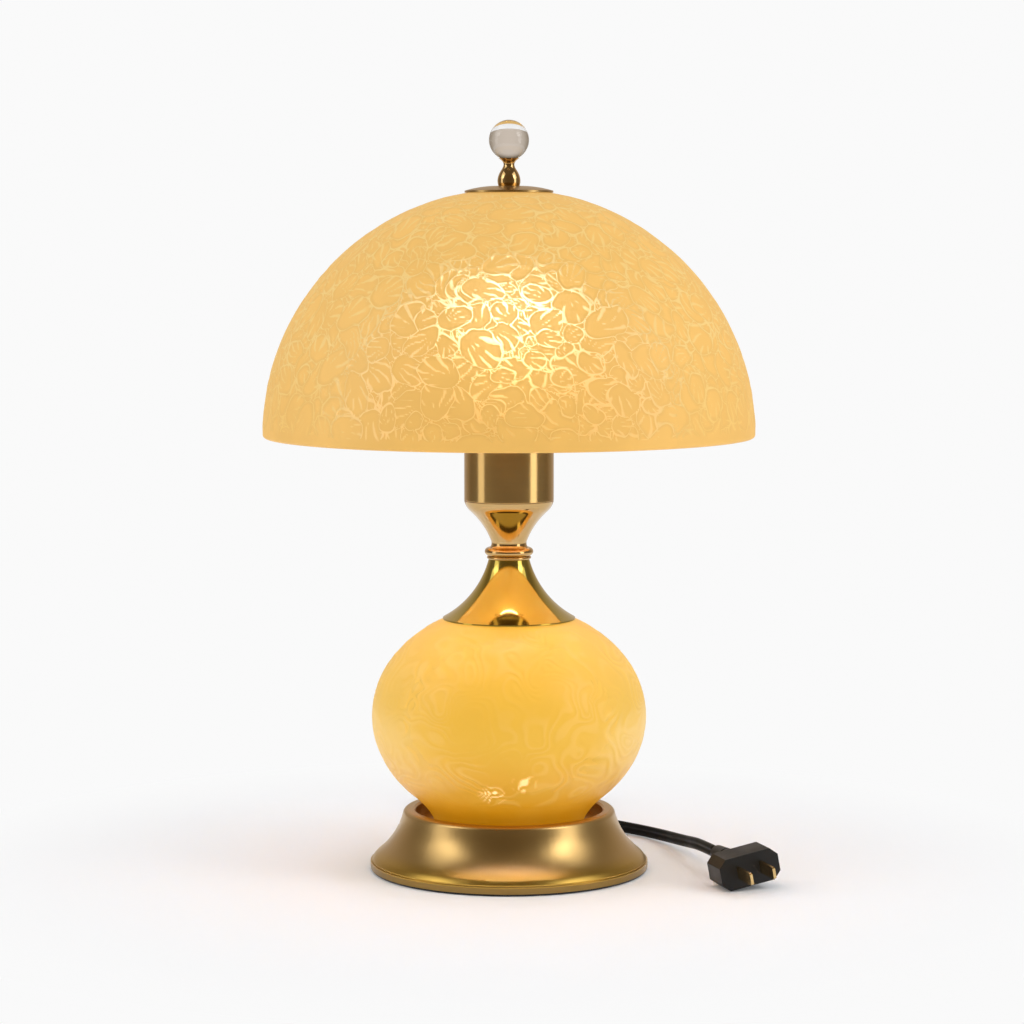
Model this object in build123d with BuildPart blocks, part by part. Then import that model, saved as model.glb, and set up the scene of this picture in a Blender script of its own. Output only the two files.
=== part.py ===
"""Table lamp: amber glass dome on a harp, brass column, amber glass globe and weighted brass base.

Millimetres, +Z up. The origin is on the floor under the middle of the base. +Y is the back of the lamp.
The column is a stack on one threaded rod, so most heights follow from the thickness of what lies below.
"""

import math
import os

from build123d import *

os.makedirs("parts", exist_ok=True)

# Clearances
rod_clear = 0.1  # round a piece that slips over the rod
seat_gap = 0.3  # between curved faces that rest on each other
turn_clear = 0.08  # radial, in a bore that something turns in
slide_clear = 0.3  # round a sleeve that slides by hand

# Felt, cover and base
felt_thick = 1.0
felt_inset = 0.8
cover_inset = 4.2
cover_thick = 1.2
foot_radius = 74.6
foot_band = 3.6
foot_step = 0.9
foot_flare = 3.6  # how far the foot stands out past the shoulder
groove_height = 0.9
shoulder_height = 7.6
shoulder_flare = 14.0  # how far the shoulder stands out past the rim
rim_width = 6.6
rim_height = 31.5
rim_round = 2.6
rim_lean = 14.0  # degrees from upright at which the side leaves the rim
rim_lip_round = 1.0
well_depth = 7.5
web_thick = 3.0
cavity_top_wall = 2.7
cavity_mid_wall = 11.0
cavity_foot_wall = 6.7
cavity_top_depth = 3.0
cavity_mid_height = 12.5
cavity_foot_height = 5.5
weight_clear = 4.5
weight_thick = 7.0

# Threaded rod, nuts and washers
rod_radius = 5.0
rod_bore = 3.3
rod_tail = 1.0
rod_into_hub = 6.0
nut_flats = 15.0
nut_thick = 5.0
washer_radius = 11.0
washer_thick = 1.5
lead_radius = 1.5
lead_bend = 4.6
lead_low_reach = 16.5  # how far from the axis the wires come down to the bottom cover
lead_lift = 0.4

# Globe
globe_setback = 1.1  # how far the globe's widest part lies inside the edge of the foot
globe_half_height = 59.4
globe_wall = 3.0
globe_collar_radius = 40.2
globe_collar_height = 6.5
globe_flat_radius = 17.0
globe_hole_radius = 9.0
gasket_thick = 1.5
seat_gasket_width = 6.0
globe_gasket_radius = 16.0

# Skirt, ring, tapered neck and socket cup
skirt_rim_radius = 35.4
skirt_rim_edge = 0.6
skirt_rim_gap = 0.35  # between the slanted rim and the globe under it
skirt_wall = 1.2
skirt_height = 31.9
skirt_top_radius = 10.9
skirt_sweep_radius = 50.0
skirt_flange = 1.6
ring_lower_height = 1.9
ring_upper_height = 4.4
ring_root_radius = 10.9
ring_lower_radius = 11.8
ring_upper_radius = 13.0
neck_height = 25.0
neck_foot_radius = 10.3
neck_waist_radius = 9.5
neck_waist_height = 3.2
neck_shoulder_inset = 3.3  # how far the shoulder lies inside the cup
neck_shoulder_height = 19.4
neck_sweep_radius = 41.0
neck_wall = 1.5
neck_floor_height = 9.0
cup_wall = 1.2
cup_floor = 1.6
cup_height = 38.4
cup_edge_round = 0.6

# Lampholder and its turn knob
hub_radius = 8.0
hub_height = 6.0
holder_wall = 1.2
holder_air = 0.87  # between the screw shell and the outer shell
holder_slope = 2.0
holder_cap_height = 6.5
holder_floor = 1.5
holder_body_height = 11.7
holder_shell_height = 29.0
screw_shell_wall = 0.75
screw_shell_height = 19.0
screw_shell_floor = 0.7
screw_shell_mouth = 8.0
contact_radius = 4.0
contact_height = 1.8
knob_radius = 6.2
knob_length = 11.0
knob_gap = 1.2
knob_flutes = 12
knob_flute_radius = 0.9
knob_height = 7.0  # above the underside of the insulating body
knob_shaft_radius = 2.4
knob_shaft_depth = 8.0
knob_hole_clear = 1.0

# Bulb
bulb_cap_radius = 13.1
bulb_cap_height = 22.0
bulb_cap_wall = 0.6
bulb_radius = 30.0
bulb_neck_radius = 13.0
bulb_neck_height = 5.0
bulb_centre_rise = 49.0  # globe's middle above the top of the screw cap
bulb_glass = 1.0
bulb_meet_angle = -15.0  # where the round of the globe runs into its shoulder
bulb_knee_out = 0.42  # share of the way from the neck's radius to the globe's
bulb_knee_up = 0.48  # share of the way up to the globe's middle
bulb_knee_thin = 0.6  # share of the glass that the shoulder's slope takes off upwards
bulb_contact_radius = 4.6
bulb_contact_height = 1.2
bulb_insulator_height = 3.0
bulb_stem_radius = 4.0
bulb_stem_rise = 22.0
filament_radius = 0.9
filament_length = 34.0
filament_count = 4
filament_circle = 8.0
filament_hub_thick = 1.2

# Harp, with its saddle, sleeves and stud
saddle_thick = 1.8
saddle_clear = 1.8  # between an ear of the saddle and the cup
saddle_width = 11.0
saddle_tip_width = 8.0
saddle_shoulder_rise = 2.2  # above the mouth of the cup
saddle_tip_height = 6.0
harp_wire_radius = 1.6
harp_over_bulb = 15.73  # from the top of the bulb to the middle of the wire
harp_foot_width = 8.0
harp_foot_thick = 3.2
harp_foot_height = 6.0
harp_beside_bulb = 12.4  # from the bulb's side to the wire
harp_knee_rise = 17.5
harp_belly_rise = 49.0
harp_shoulder_drop = 23.0
harp_top_half = 20.0
harp_knee_round = 12.0
harp_belly_round = 26.0
harp_shoulder_round = 22.0
harp_top_round = 14.0
sleeve_wall = 1.0
sleeve_length = 11.6
sleeve_air = 1.1  # between a sleeve and the lampholder
stud_radius = 3.1
stud_base_radius = 9.0
stud_base_height = 5.0
stud_cover = 0.2  # how far the stud's base reaches below the middle of the wire

# Shade with its cap
shade_radius = 130.8
shade_wall = 3.2
shade_cut = 1.4  # how far above the middle of the dome its lip begins
shade_hole_radius = 6.0
seat_washer_radius = 20.0
seat_washer_thick = 1.6
inner_gasket_radius = 14.0
inner_gasket_thick = 2.0
outer_gasket_radius = 9.2
outer_gasket_thick = 0.6
cap_radius = 23.5
cap_thick = 1.0
cap_flat_radius = 9.5
cap_sweep_radius = 60.0

# Finial
finial_bore_depth = 6.4
finial_bore_clear = 0.15
finial_foot_radius = 5.5
finial_belly_radius = 6.0
finial_belly_height = 3.8
finial_shoulder_radius = 4.6
finial_shoulder_height = 7.6
finial_neck_radius = 3.1
finial_neck_height = 10.2
finial_cup_radius = 5.6
finial_cup_height = 14.6
finial_ball_radius = 10.6
finial_ball_sink = 1.0  # how far the ball sits below the rim of its cup
finial_ball_clear = 0.1

# Cord, a flat twin lead that lies on its edge, and the bushing where it leaves the base
cord_width = 6.6
cord_thick = 3.4
bushing_angle = 70.0
bushing_height = 12.5
bushing_radius = 4.9
bushing_end_radius = 4.0
bushing_reach = 22.0
bushing_depth = 17.2
bushing_groove = 0.6
bushing_groove_width = 1.5
bushing_groove_shares = (0.3, 0.5, 0.7)  # of the reach past the foot
bushing_clear = 0.15
corner_share = 0.45  # of the shorter run at a corner that its arc takes up
cord_straight_out = 20.5  # run on from the bushing
coil_run_in = 20.0
coil_run_out = 27.0
plug_run_in = 26.0
# Points round the right of the base: angle from +X, distance from the edge of the foot, height
cord_route = [(67.6, 42.0, 4.3), (54.3, 39.3, 3.6), (39.8, 35.5, 3.9), (19.4, 29.0, 7.0)]

# Coil of the length that is put away behind the base
coil_x = 0.0
coil_setback = 98.4  # from the edge of the foot to the middle of the coil
coil_radius = 42.0
coil_turns = 3
coil_turn_gap = 0.9
coil_layer_gap = 0.8
coil_lift = 1.8
coil_leave_angle = 250.0
tie_thick = 1.0
tie_width = 6.0
tie_gap = 0.4

# Plug
plug_standoff = 44.9  # to the right of the edge of the foot
plug_y = -41.4
plug_z = 10.9
plug_heading = -72.0
plug_roll = 11.0
plug_width = 33.0
plug_thick = 17.0
plug_depth = 19.0
plug_corner = 4.0
plug_edge = 1.2
relief_length = 26.0
relief_radius = 6.0
relief_end_radius = 4.4
relief_groove = 1.0
relief_groove_width = 1.6
relief_pitch = 4.5
relief_grooves = 3
blade_spacing = 12.7
blade_width = 6.35
blade_thick = 1.5
blade_length = 17.5
blade_root = 5.0
blade_fit = 0.05
blade_tip = 1.2

# Radii that follow from the foot
shoulder_radius = foot_radius - foot_flare
rim_radius = shoulder_radius - shoulder_flare
well_radius = rim_radius - rim_width
cover_radius = foot_radius - cover_inset
cavity_top_radius = rim_radius - cavity_top_wall
cavity_mid_radius = shoulder_radius - cavity_mid_wall
cavity_foot_radius = foot_radius - cavity_foot_wall
weight_radius = cavity_top_radius - weight_clear
globe_radius = foot_radius - globe_setback
coil_y = foot_radius + coil_setback
plug_x = foot_radius + plug_standoff

# Radii that follow from the bulb
screw_bore = bulb_cap_radius + turn_clear
screw_outer = screw_bore + screw_shell_wall
holder_radius = screw_outer + holder_air + holder_wall
harp_leg_x = holder_radius + sleeve_air + sleeve_wall + slide_clear + harp_foot_thick / 2
harp_half_width = bulb_radius + harp_beside_bulb + harp_wire_radius
cup_radius = harp_leg_x + saddle_thick / 2 + saddle_clear + cup_wall
neck_shoulder_radius = cup_radius - neck_shoulder_inset

# Heights up the column
base_z = felt_thick
rim_z = base_z + rim_height
well_z = rim_z - well_depth
web_z = well_z - web_thick
weight_z = web_z - weight_thick
lower_washer_z = weight_z - washer_thick
lower_nut_z = lower_washer_z - nut_thick
rod_bottom_z = lower_nut_z - rod_tail
rod_hole = rod_radius + rod_clear
globe_foot_z = well_z + gasket_thick
globe_collar_z = globe_foot_z + globe_collar_height


def globe_rise(radius, half_width=globe_radius, half_height=globe_half_height):
    """Height of the globe's surface above its middle, at a distance from the axis."""
    return half_height * math.sqrt(1 - (radius / half_width) ** 2)


globe_z = globe_collar_z + globe_rise(globe_collar_radius)
globe_flat_z = globe_z + globe_rise(globe_flat_radius)
globe_washer_z = globe_flat_z + gasket_thick
globe_nut_z = globe_washer_z + washer_thick
skirt_z = globe_z + globe_rise(skirt_rim_radius) + skirt_rim_gap
skirt_inner_z = globe_z + globe_rise(skirt_rim_radius - skirt_wall) + skirt_rim_gap
ring_z = skirt_z + skirt_height
ring_waist_z = ring_z + ring_lower_height
neck_z = ring_waist_z + ring_upper_height
cup_z = neck_z + neck_height
cup_floor_z = cup_z + cup_floor
cup_top_z = cup_z + cup_height
cup_bore = cup_radius - cup_wall
upper_nut_z = cup_floor_z + saddle_thick
holder_z = upper_nut_z + nut_thick
rod_top_z = holder_z + rod_into_hub
holder_slope_z = holder_z + hub_height
holder_rim_z = holder_slope_z + holder_cap_height
holder_body_z = holder_slope_z + holder_slope + holder_floor
holder_bore = holder_radius - holder_wall
screw_shell_z = holder_body_z + holder_body_height
knob_z = holder_body_z + knob_height
bulb_z = screw_shell_z + contact_height + seat_gap
bulb_insulator_z = bulb_z + bulb_contact_height
bulb_cap_z = bulb_insulator_z + bulb_insulator_height
bulb_neck_z = bulb_cap_z + bulb_cap_height
bulb_centre_z = bulb_neck_z + bulb_centre_rise
harp_top_z = bulb_centre_z + bulb_radius + harp_over_bulb
stud_base_z = harp_top_z - stud_cover
seat_washer_z = stud_base_z + stud_base_height
inner_gasket_z = seat_washer_z + seat_washer_thick
shade_inner_radius = shade_radius - shade_wall
shade_seat_z = inner_gasket_z + inner_gasket_thick + seat_gap
shade_centre_height = shade_seat_z - math.sqrt(shade_inner_radius**2 - inner_gasket_radius**2)


def dome_z(dome_radius, radius):
    """Height of a dome round the shade's middle, at a distance from the axis."""
    return shade_centre_height + math.sqrt(dome_radius**2 - radius**2)


outer_gasket_z = dome_z(shade_radius, shade_hole_radius) + seat_gap / 2
cap_under_z = outer_gasket_z + outer_gasket_thick
finial_z = cap_under_z + cap_thick
cap_edge_z = dome_z(shade_radius, cap_radius) + seat_gap
stud_top_z = finial_z + finial_bore_depth - seat_gap
ball_z = finial_z + finial_cup_height - finial_ball_sink + finial_ball_radius
saddle_shoulder_z = cup_top_z + saddle_shoulder_rise
harp_foot_z = saddle_shoulder_z + saddle_tip_height


def ring(outer, inner, bottom, thick):
    """A flat ring round the lamp's axis."""
    with BuildPart() as piece:
        with BuildSketch(Plane.XY.offset(bottom)):
            Circle(outer)
            Circle(inner, mode=Mode.SUBTRACT)
        extrude(amount=thick)
    return piece


def disc(radius, bottom, thick):
    """A flat disc on the lamp's axis."""
    with BuildPart() as piece:
        with BuildSketch(Plane.XY.offset(bottom)):
            Circle(radius)
        extrude(amount=thick)
    return piece


def hex_nut(bottom):
    """A thin nut on the threaded rod."""
    with BuildPart() as piece:
        with BuildSketch(Plane.XY.offset(bottom)):
            RegularPolygon(nut_flats / 2, 6, major_radius=False)
            Circle(rod_hole, mode=Mode.SUBTRACT)
        extrude(amount=nut_thick)
    return piece


def turned(*outline):
    """A piece turned round the lamp's axis from a closed outline of (radius, height) points."""
    with BuildPart() as piece:
        with BuildSketch(Plane.XZ):
            with BuildLine():
                Polyline(*outline, close=True)
            make_face()
        revolve(axis=Axis.Z)
    return piece


# The bushing lies along a line from the axis out through the back of the base
bushing_dir = Vector(math.cos(math.radians(bushing_angle)), math.sin(math.radians(bushing_angle)), 0)
bushing_start = Vector(0, 0, bushing_height)
bushing_across = Vector(-bushing_dir.Y, bushing_dir.X, 0)
bushing_plane = Plane(origin=bushing_start, x_dir=bushing_across, z_dir=bushing_dir)
bushing_section = Plane(origin=bushing_start, x_dir=bushing_dir, z_dir=(bushing_dir.Y, -bushing_dir.X, 0))
bushing_end = foot_radius + bushing_reach
bushing_inner_end = foot_radius - bushing_depth

# Base: cast brass, open underneath, with a well in the top for the globe's collar
rim_fall = (math.sin(math.radians(rim_lean)), -math.cos(math.radians(rim_lean)))
rim_crown = (rim_radius - rim_round, rim_z)
rim_edge = (rim_crown[0] - rim_round * rim_fall[1], rim_z - rim_round * (1 - rim_fall[0]))
shoulder = (shoulder_radius, base_z + shoulder_height)
flare_foot = (foot_radius - foot_step, base_z + foot_band + groove_height)
with BuildPart() as base_casting:
    with BuildSketch(Plane.XZ):
        with BuildLine():
            concave = TangentArc(rim_edge, shoulder, tangent=rim_fall)
            TangentArc(shoulder, flare_foot, tangent=concave % 1)
            Polyline(
                flare_foot,
                (foot_radius - foot_step, base_z + foot_band),
                (foot_radius, base_z + foot_band),
                (foot_radius, base_z),
                (cover_radius + seat_gap, base_z),
                (cover_radius + seat_gap, base_z + cover_thick),
                (cavity_foot_radius, base_z + cover_thick),
                (cavity_foot_radius, base_z + cavity_foot_height),
                (cavity_mid_radius, base_z + cavity_mid_height),
                (cavity_top_radius, web_z - cavity_top_depth),
                (cavity_top_radius, web_z),
                (rod_hole, web_z),
                (rod_hole, well_z),
                (well_radius, well_z),
                (well_radius, rim_z - rim_lip_round),
                (well_radius + rim_lip_round, rim_z),
                rim_crown,
            )
            TangentArc(rim_crown, rim_edge, tangent=(1, 0))
        make_face()
    revolve(axis=Axis.Z)
    with BuildSketch(bushing_plane):
        Circle(bushing_radius + bushing_clear)
    extrude(amount=foot_radius, mode=Mode.SUBTRACT)

felt_pad = disc(foot_radius - felt_inset, 0, felt_thick)
bottom_cover = disc(cover_radius, base_z, cover_thick)
base_weight = ring(weight_radius, rod_hole, weight_z, weight_thick)
rod_washer = ring(washer_radius, rod_hole, lower_washer_z, washer_thick)
rod_nut_lower = hex_nut(lower_nut_z)
threaded_rod = ring(rod_radius, rod_bore, rod_bottom_z, rod_top_z - rod_bottom_z)

# Bushing with grooves where the cord bends
groove_at = [foot_radius + bushing_reach * share for share in bushing_groove_shares]
groove_half = bushing_groove_width / 2


def bushing_radius_at(reach):
    """Radius of the tapered end of the bushing."""
    share = (reach - foot_radius) / bushing_reach
    return bushing_radius + share * (bushing_end_radius - bushing_radius)


bushing_outline = [(bushing_inner_end, 0), (bushing_inner_end, bushing_radius), (foot_radius, bushing_radius)]
for reach in groove_at:
    bushing_outline.append((reach - groove_half, bushing_radius_at(reach)))
    bushing_outline.append((reach - groove_half, bushing_radius_at(reach) - bushing_groove))
    bushing_outline.append((reach + groove_half, bushing_radius_at(reach) - bushing_groove))
    bushing_outline.append((reach + groove_half, bushing_radius_at(reach)))
bushing_outline += [(bushing_end, bushing_end_radius), (bushing_end, 0)]
with BuildPart() as cord_bushing:
    with BuildSketch(bushing_section):
        with BuildLine():
            Polyline(*bushing_outline, close=True)
        make_face()
    revolve(axis=Axis(bushing_start, bushing_dir))

# Pair of wires from the bushing to the lampholder, through the bore of the rod
lead_z = base_z + cover_thick + lead_lift + lead_radius
lead_start = bushing_start + bushing_dir * bushing_inner_end
lead_turn = lead_start - bushing_dir * (bushing_inner_end - weight_radius + lead_bend)
lead_low = Vector(0, 0, lead_z) + bushing_dir * lead_low_reach
lead_foot = Vector(0, 0, lead_z)
lead_top = Vector(0, 0, rod_top_z)
with BuildPart() as inner_lead:
    with BuildLine() as lead_path:
        FilletPolyline(lead_start, lead_turn, lead_low, lead_foot, lead_top, radius=lead_bend)
    with BuildSketch(Plane(origin=lead_start, z_dir=-bushing_dir)):
        Circle(lead_radius)
    sweep()

# Globe on its gasket in the base, clamped at the top by a washer and a nut
globe_inner_radius = globe_radius - globe_wall
globe_inner_half = globe_half_height - globe_wall
collar_bore = globe_collar_radius - globe_wall
collar_bore_z = globe_z - globe_rise(collar_bore, globe_inner_radius, globe_inner_half)
hole_under_z = globe_z + globe_rise(globe_hole_radius, globe_inner_radius, globe_inner_half)


def globe_angle(height, radius, half_width, half_height):
    """Angle on the globe's outline, as its ellipse counts it, of a point on it."""
    return math.degrees(math.atan2((height - globe_z) / half_height, radius / half_width))


outer_low = globe_angle(globe_collar_z, globe_collar_radius, globe_radius, globe_half_height)
outer_high = globe_angle(globe_flat_z, globe_flat_radius, globe_radius, globe_half_height)
inner_low = globe_angle(collar_bore_z, collar_bore, globe_inner_radius, globe_inner_half)
inner_high = globe_angle(hole_under_z, globe_hole_radius, globe_inner_radius, globe_inner_half)
with BuildPart() as globe:
    with BuildSketch(Plane.XZ):
        with BuildLine():
            EllipticalCenterArc(
                (0, globe_z), globe_radius, globe_half_height, outer_low, arc_size=outer_high - outer_low
            )
            Polyline(
                (globe_flat_radius, globe_flat_z),
                (globe_hole_radius, globe_flat_z),
                (globe_hole_radius, hole_under_z),
            )
            EllipticalCenterArc(
                (0, globe_z),
                globe_inner_radius,
                globe_inner_half,
                inner_low,
                arc_size=inner_high - inner_low,
            )
            Polyline(
                (collar_bore, collar_bore_z),
                (collar_bore, globe_foot_z),
                (globe_collar_radius, globe_foot_z),
                (globe_collar_radius, globe_collar_z),
            )
        make_face()
    revolve(axis=Axis.Z)

seat_gasket = ring(globe_collar_radius, globe_collar_radius - seat_gasket_width, well_z, gasket_thick)
globe_gasket = ring(globe_gasket_radius, rod_hole, globe_flat_z, gasket_thick)
globe_washer = ring(globe_gasket_radius, rod_hole, globe_washer_z, washer_thick)
globe_nut = hex_nut(globe_nut_z)

# Trumpet skirt, spun from sheet, with a flange under the ring
skirt_rim_top = (skirt_rim_radius, skirt_z + skirt_rim_edge)
skirt_rim_inner = (skirt_rim_radius - skirt_wall, skirt_inner_z + skirt_rim_edge / 2)
skirt_inner_top = (skirt_top_radius - skirt_wall, ring_z - skirt_flange)
with BuildPart() as skirt:
    with BuildSketch(Plane.XZ):
        with BuildLine():
            RadiusArc(skirt_rim_top, (skirt_top_radius, ring_z), skirt_sweep_radius)
            Polyline(
                (skirt_top_radius, ring_z),
                (rod_hole, ring_z),
                (rod_hole, ring_z - skirt_flange),
                skirt_inner_top,
            )
            RadiusArc(skirt_rim_inner, skirt_inner_top, skirt_sweep_radius)
            Polyline(
                skirt_rim_inner,
                (skirt_rim_radius - skirt_wall, skirt_inner_z),
                (skirt_rim_radius, skirt_z),
                skirt_rim_top,
            )
        make_face()
    revolve(axis=Axis.Z)

# Ring with a large bead over a small one
lower_bead_z = ring_z + ring_lower_height / 2
upper_bead_z = ring_waist_z + ring_upper_height / 2
with BuildPart() as neck_ring:
    with BuildSketch(Plane.XZ):
        with BuildLine():
            Polyline(
                (ring_root_radius, ring_z),
                (rod_hole, ring_z),
                (rod_hole, neck_z),
                (ring_root_radius, neck_z),
            )
            ThreePointArc(
                (ring_root_radius, neck_z),
                (ring_upper_radius, upper_bead_z),
                (ring_root_radius, ring_waist_z),
            )
            ThreePointArc(
                (ring_root_radius, ring_waist_z),
                (ring_lower_radius, lower_bead_z),
                (ring_root_radius, ring_z),
            )
        make_face()
    revolve(axis=Axis.Z)

# Tapered neck: solid round the rod below, hollow above
neck_waist = (neck_waist_radius, neck_z + neck_waist_height)
neck_shoulder = (neck_shoulder_radius, neck_z + neck_shoulder_height)
neck_floor_z = neck_z + neck_floor_height
neck_rise_share = (neck_floor_height - neck_waist_height) / (neck_shoulder_height - neck_waist_height)
neck_floor_radius = neck_waist_radius + neck_rise_share * (neck_shoulder_radius - neck_waist_radius)
with BuildPart() as neck_taper:
    with BuildSketch(Plane.XZ):
        with BuildLine():
            RadiusArc((neck_foot_radius, neck_z), neck_waist, neck_waist_height)
            flare = RadiusArc(neck_waist, neck_shoulder, neck_sweep_radius)
            TangentArc(neck_shoulder, (cup_radius, cup_z), tangent=flare % 1)
            Polyline(
                (cup_radius, cup_z),
                (cup_bore, cup_z),
                (neck_shoulder_radius - neck_wall, neck_z + neck_shoulder_height),
                (neck_floor_radius - 2 * neck_wall, neck_floor_z),
                (rod_hole, neck_floor_z),
                (rod_hole, neck_z),
                (neck_foot_radius, neck_z),
            )
        make_face()
    revolve(axis=Axis.Z)

# Socket cup: a drawn tube with a floor, and a hole at the back for the knob's shaft
knob_plane = Plane(origin=(0, 0, knob_z), x_dir=(1, 0, 0), z_dir=(0, 1, 0))
with BuildPart() as socket_cup:
    with BuildSketch(Plane.XY.offset(cup_z)):
        Circle(cup_radius)
    extrude(amount=cup_height)
    with BuildSketch(Plane.XY.offset(cup_floor_z)):
        Circle(cup_bore)
    extrude(amount=cup_height, mode=Mode.SUBTRACT)
    with BuildSketch(Plane.XY.offset(cup_z)):
        Circle(rod_hole)
    extrude(amount=cup_floor, mode=Mode.SUBTRACT)
    fillet(socket_cup.faces().sort_by(Axis.Z)[0].outer_wire().edges(), cup_edge_round)
    with BuildSketch(knob_plane):
        Circle(knob_shaft_radius + knob_hole_clear)
    extrude(amount=cup_radius, mode=Mode.SUBTRACT)

# Harp saddle: a strip under the nut whose two ears stand up inside the cup
saddle_half = harp_leg_x + saddle_thick / 2
with BuildPart() as harp_saddle:
    with BuildSketch(Plane.XY.offset(cup_floor_z)):
        Rectangle(2 * saddle_half, saddle_width)
        Circle(rod_hole, mode=Mode.SUBTRACT)
    extrude(amount=saddle_thick)
    with BuildSketch(Plane.XY.offset(cup_floor_z)):
        with Locations((-harp_leg_x, 0), (harp_leg_x, 0)):
            Rectangle(saddle_thick, saddle_width)
    extrude(amount=saddle_shoulder_z - cup_floor_z)
    with BuildSketch(Plane.XY.offset(saddle_shoulder_z)):
        with Locations((-harp_leg_x, 0), (harp_leg_x, 0)):
            Rectangle(saddle_thick, saddle_tip_width)
    extrude(amount=saddle_tip_height)

rod_nut_upper = hex_nut(upper_nut_z)

# Lampholder: cap on the rod, insulating body, contact, screw shell and outer shell
socket_cap = turned(
    (rod_hole, holder_z),
    (hub_radius, holder_z),
    (hub_radius, holder_slope_z),
    (holder_radius, holder_slope_z + holder_slope),
    (holder_radius, holder_rim_z),
    (holder_bore, holder_rim_z),
    (holder_bore, holder_body_z),
    (rod_hole, holder_body_z),
)
holder_body_radius = holder_bore - seat_gap
with BuildPart() as socket_body:
    with BuildSketch(Plane.XY.offset(holder_body_z)):
        Circle(holder_body_radius)
    extrude(amount=holder_body_height)
    with BuildSketch(knob_plane.offset(holder_body_radius - knob_shaft_depth)):
        Circle(knob_shaft_radius + turn_clear)
    extrude(amount=holder_body_radius, mode=Mode.SUBTRACT)

socket_contact = disc(contact_radius, screw_shell_z, contact_height)
socket_screw_shell = turned(
    (screw_shell_mouth, screw_shell_z),
    (screw_outer, screw_shell_z),
    (screw_outer, screw_shell_z + screw_shell_height),
    (screw_bore, screw_shell_z + screw_shell_height),
    (screw_bore, screw_shell_z + screw_shell_floor),
    (screw_shell_mouth, screw_shell_z + screw_shell_floor),
)
with BuildPart() as socket_shell:
    with BuildSketch(Plane.XY.offset(holder_rim_z)):
        Circle(holder_radius)
        Circle(holder_bore, mode=Mode.SUBTRACT)
    extrude(amount=holder_shell_height)
    with BuildSketch(knob_plane):
        Circle(knob_shaft_radius + knob_hole_clear)
    extrude(amount=holder_radius + holder_wall, mode=Mode.SUBTRACT)

# Turn knob at the back of the cup, on a shaft into the lampholder
knob_start = cup_radius + knob_gap
shaft_start = holder_body_radius - knob_shaft_depth
with BuildPart() as switch_shaft:
    with BuildSketch(knob_plane.offset(shaft_start)):
        Circle(knob_shaft_radius)
    extrude(amount=knob_start - shaft_start)

with BuildPart() as switch_knob:
    with BuildSketch(knob_plane.offset(knob_start)):
        Circle(knob_radius)
        with PolarLocations(knob_radius, knob_flutes):
            Circle(knob_flute_radius, mode=Mode.SUBTRACT)
    extrude(amount=knob_length)
    with BuildSketch(knob_plane.offset(knob_start + knob_length)):
        Circle(knob_radius - 2 * knob_flute_radius)
    extrude(amount=knob_flute_radius)

# Bulb, turned round the axis
bulb_contact = disc(bulb_contact_radius, bulb_z, bulb_contact_height)
bulb_insulator = turned(
    (0, bulb_insulator_z),
    (bulb_contact_radius + seat_gap, bulb_insulator_z),
    (bulb_cap_radius - bulb_cap_wall, bulb_cap_z),
    (0, bulb_cap_z),
)
bulb_screw_cap = ring(bulb_cap_radius, bulb_cap_radius - bulb_cap_wall, bulb_cap_z, bulb_cap_height)
bulb_neck_top = (bulb_neck_radius, bulb_neck_z + bulb_neck_height)
bulb_inner = bulb_radius - bulb_glass
bulb_neck_bore = bulb_neck_radius - bulb_glass
bulb_meet_out = math.cos(math.radians(bulb_meet_angle))
bulb_meet_up = math.sin(math.radians(bulb_meet_angle))
bulb_meet = (bulb_radius * bulb_meet_out, bulb_centre_z + bulb_radius * bulb_meet_up)
bulb_meet_inner = (bulb_inner * bulb_meet_out, bulb_centre_z + bulb_inner * bulb_meet_up)
bulb_slope = (bulb_meet_up, -bulb_meet_out)
bulb_knee = (
    bulb_neck_radius + (bulb_radius - bulb_neck_radius) * bulb_knee_out,
    bulb_neck_z + bulb_centre_rise * bulb_knee_up,
)
bulb_knee_inner = (bulb_knee[0] - bulb_glass, bulb_knee[1] + bulb_glass * bulb_knee_thin)
with BuildPart() as bulb_envelope:
    with BuildSketch(Plane.XZ):
        with BuildLine():
            shoulder_arc = TangentArc(bulb_meet, bulb_knee, tangent=bulb_slope)
            Spline(
                bulb_knee,
                bulb_neck_top,
                tangents=[shoulder_arc % 1, (0, -1)],
            )
            Polyline(
                bulb_neck_top,
                (bulb_neck_radius, bulb_neck_z),
                (bulb_neck_bore, bulb_neck_z),
                (bulb_neck_bore, bulb_neck_top[1]),
            )
            inner_arc = TangentArc(bulb_meet_inner, bulb_knee_inner, tangent=bulb_slope)
            Spline(
                bulb_knee_inner,
                (bulb_neck_bore, bulb_neck_top[1]),
                tangents=[inner_arc % 1, (0, -1)],
            )
            TangentArc(bulb_meet, (0, bulb_centre_z + bulb_radius), tangent=(-bulb_slope[0], -bulb_slope[1]))
            TangentArc(
                bulb_meet_inner,
                (0, bulb_centre_z + bulb_inner),
                tangent=(-bulb_slope[0], -bulb_slope[1]),
            )
            Line((0, bulb_centre_z + bulb_radius), (0, bulb_centre_z + bulb_inner))
        make_face()
    revolve(axis=Axis.Z)

bulb_stem_z = bulb_neck_z + bulb_stem_rise
bulb_stem = turned(
    (0, bulb_cap_z),
    (bulb_neck_bore - seat_gap, bulb_cap_z),
    (bulb_neck_bore - seat_gap, bulb_neck_z),
    (bulb_stem_radius, bulb_neck_z + bulb_stem_radius),
    (bulb_stem_radius, bulb_stem_z),
    (0, bulb_stem_z),
)

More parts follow.
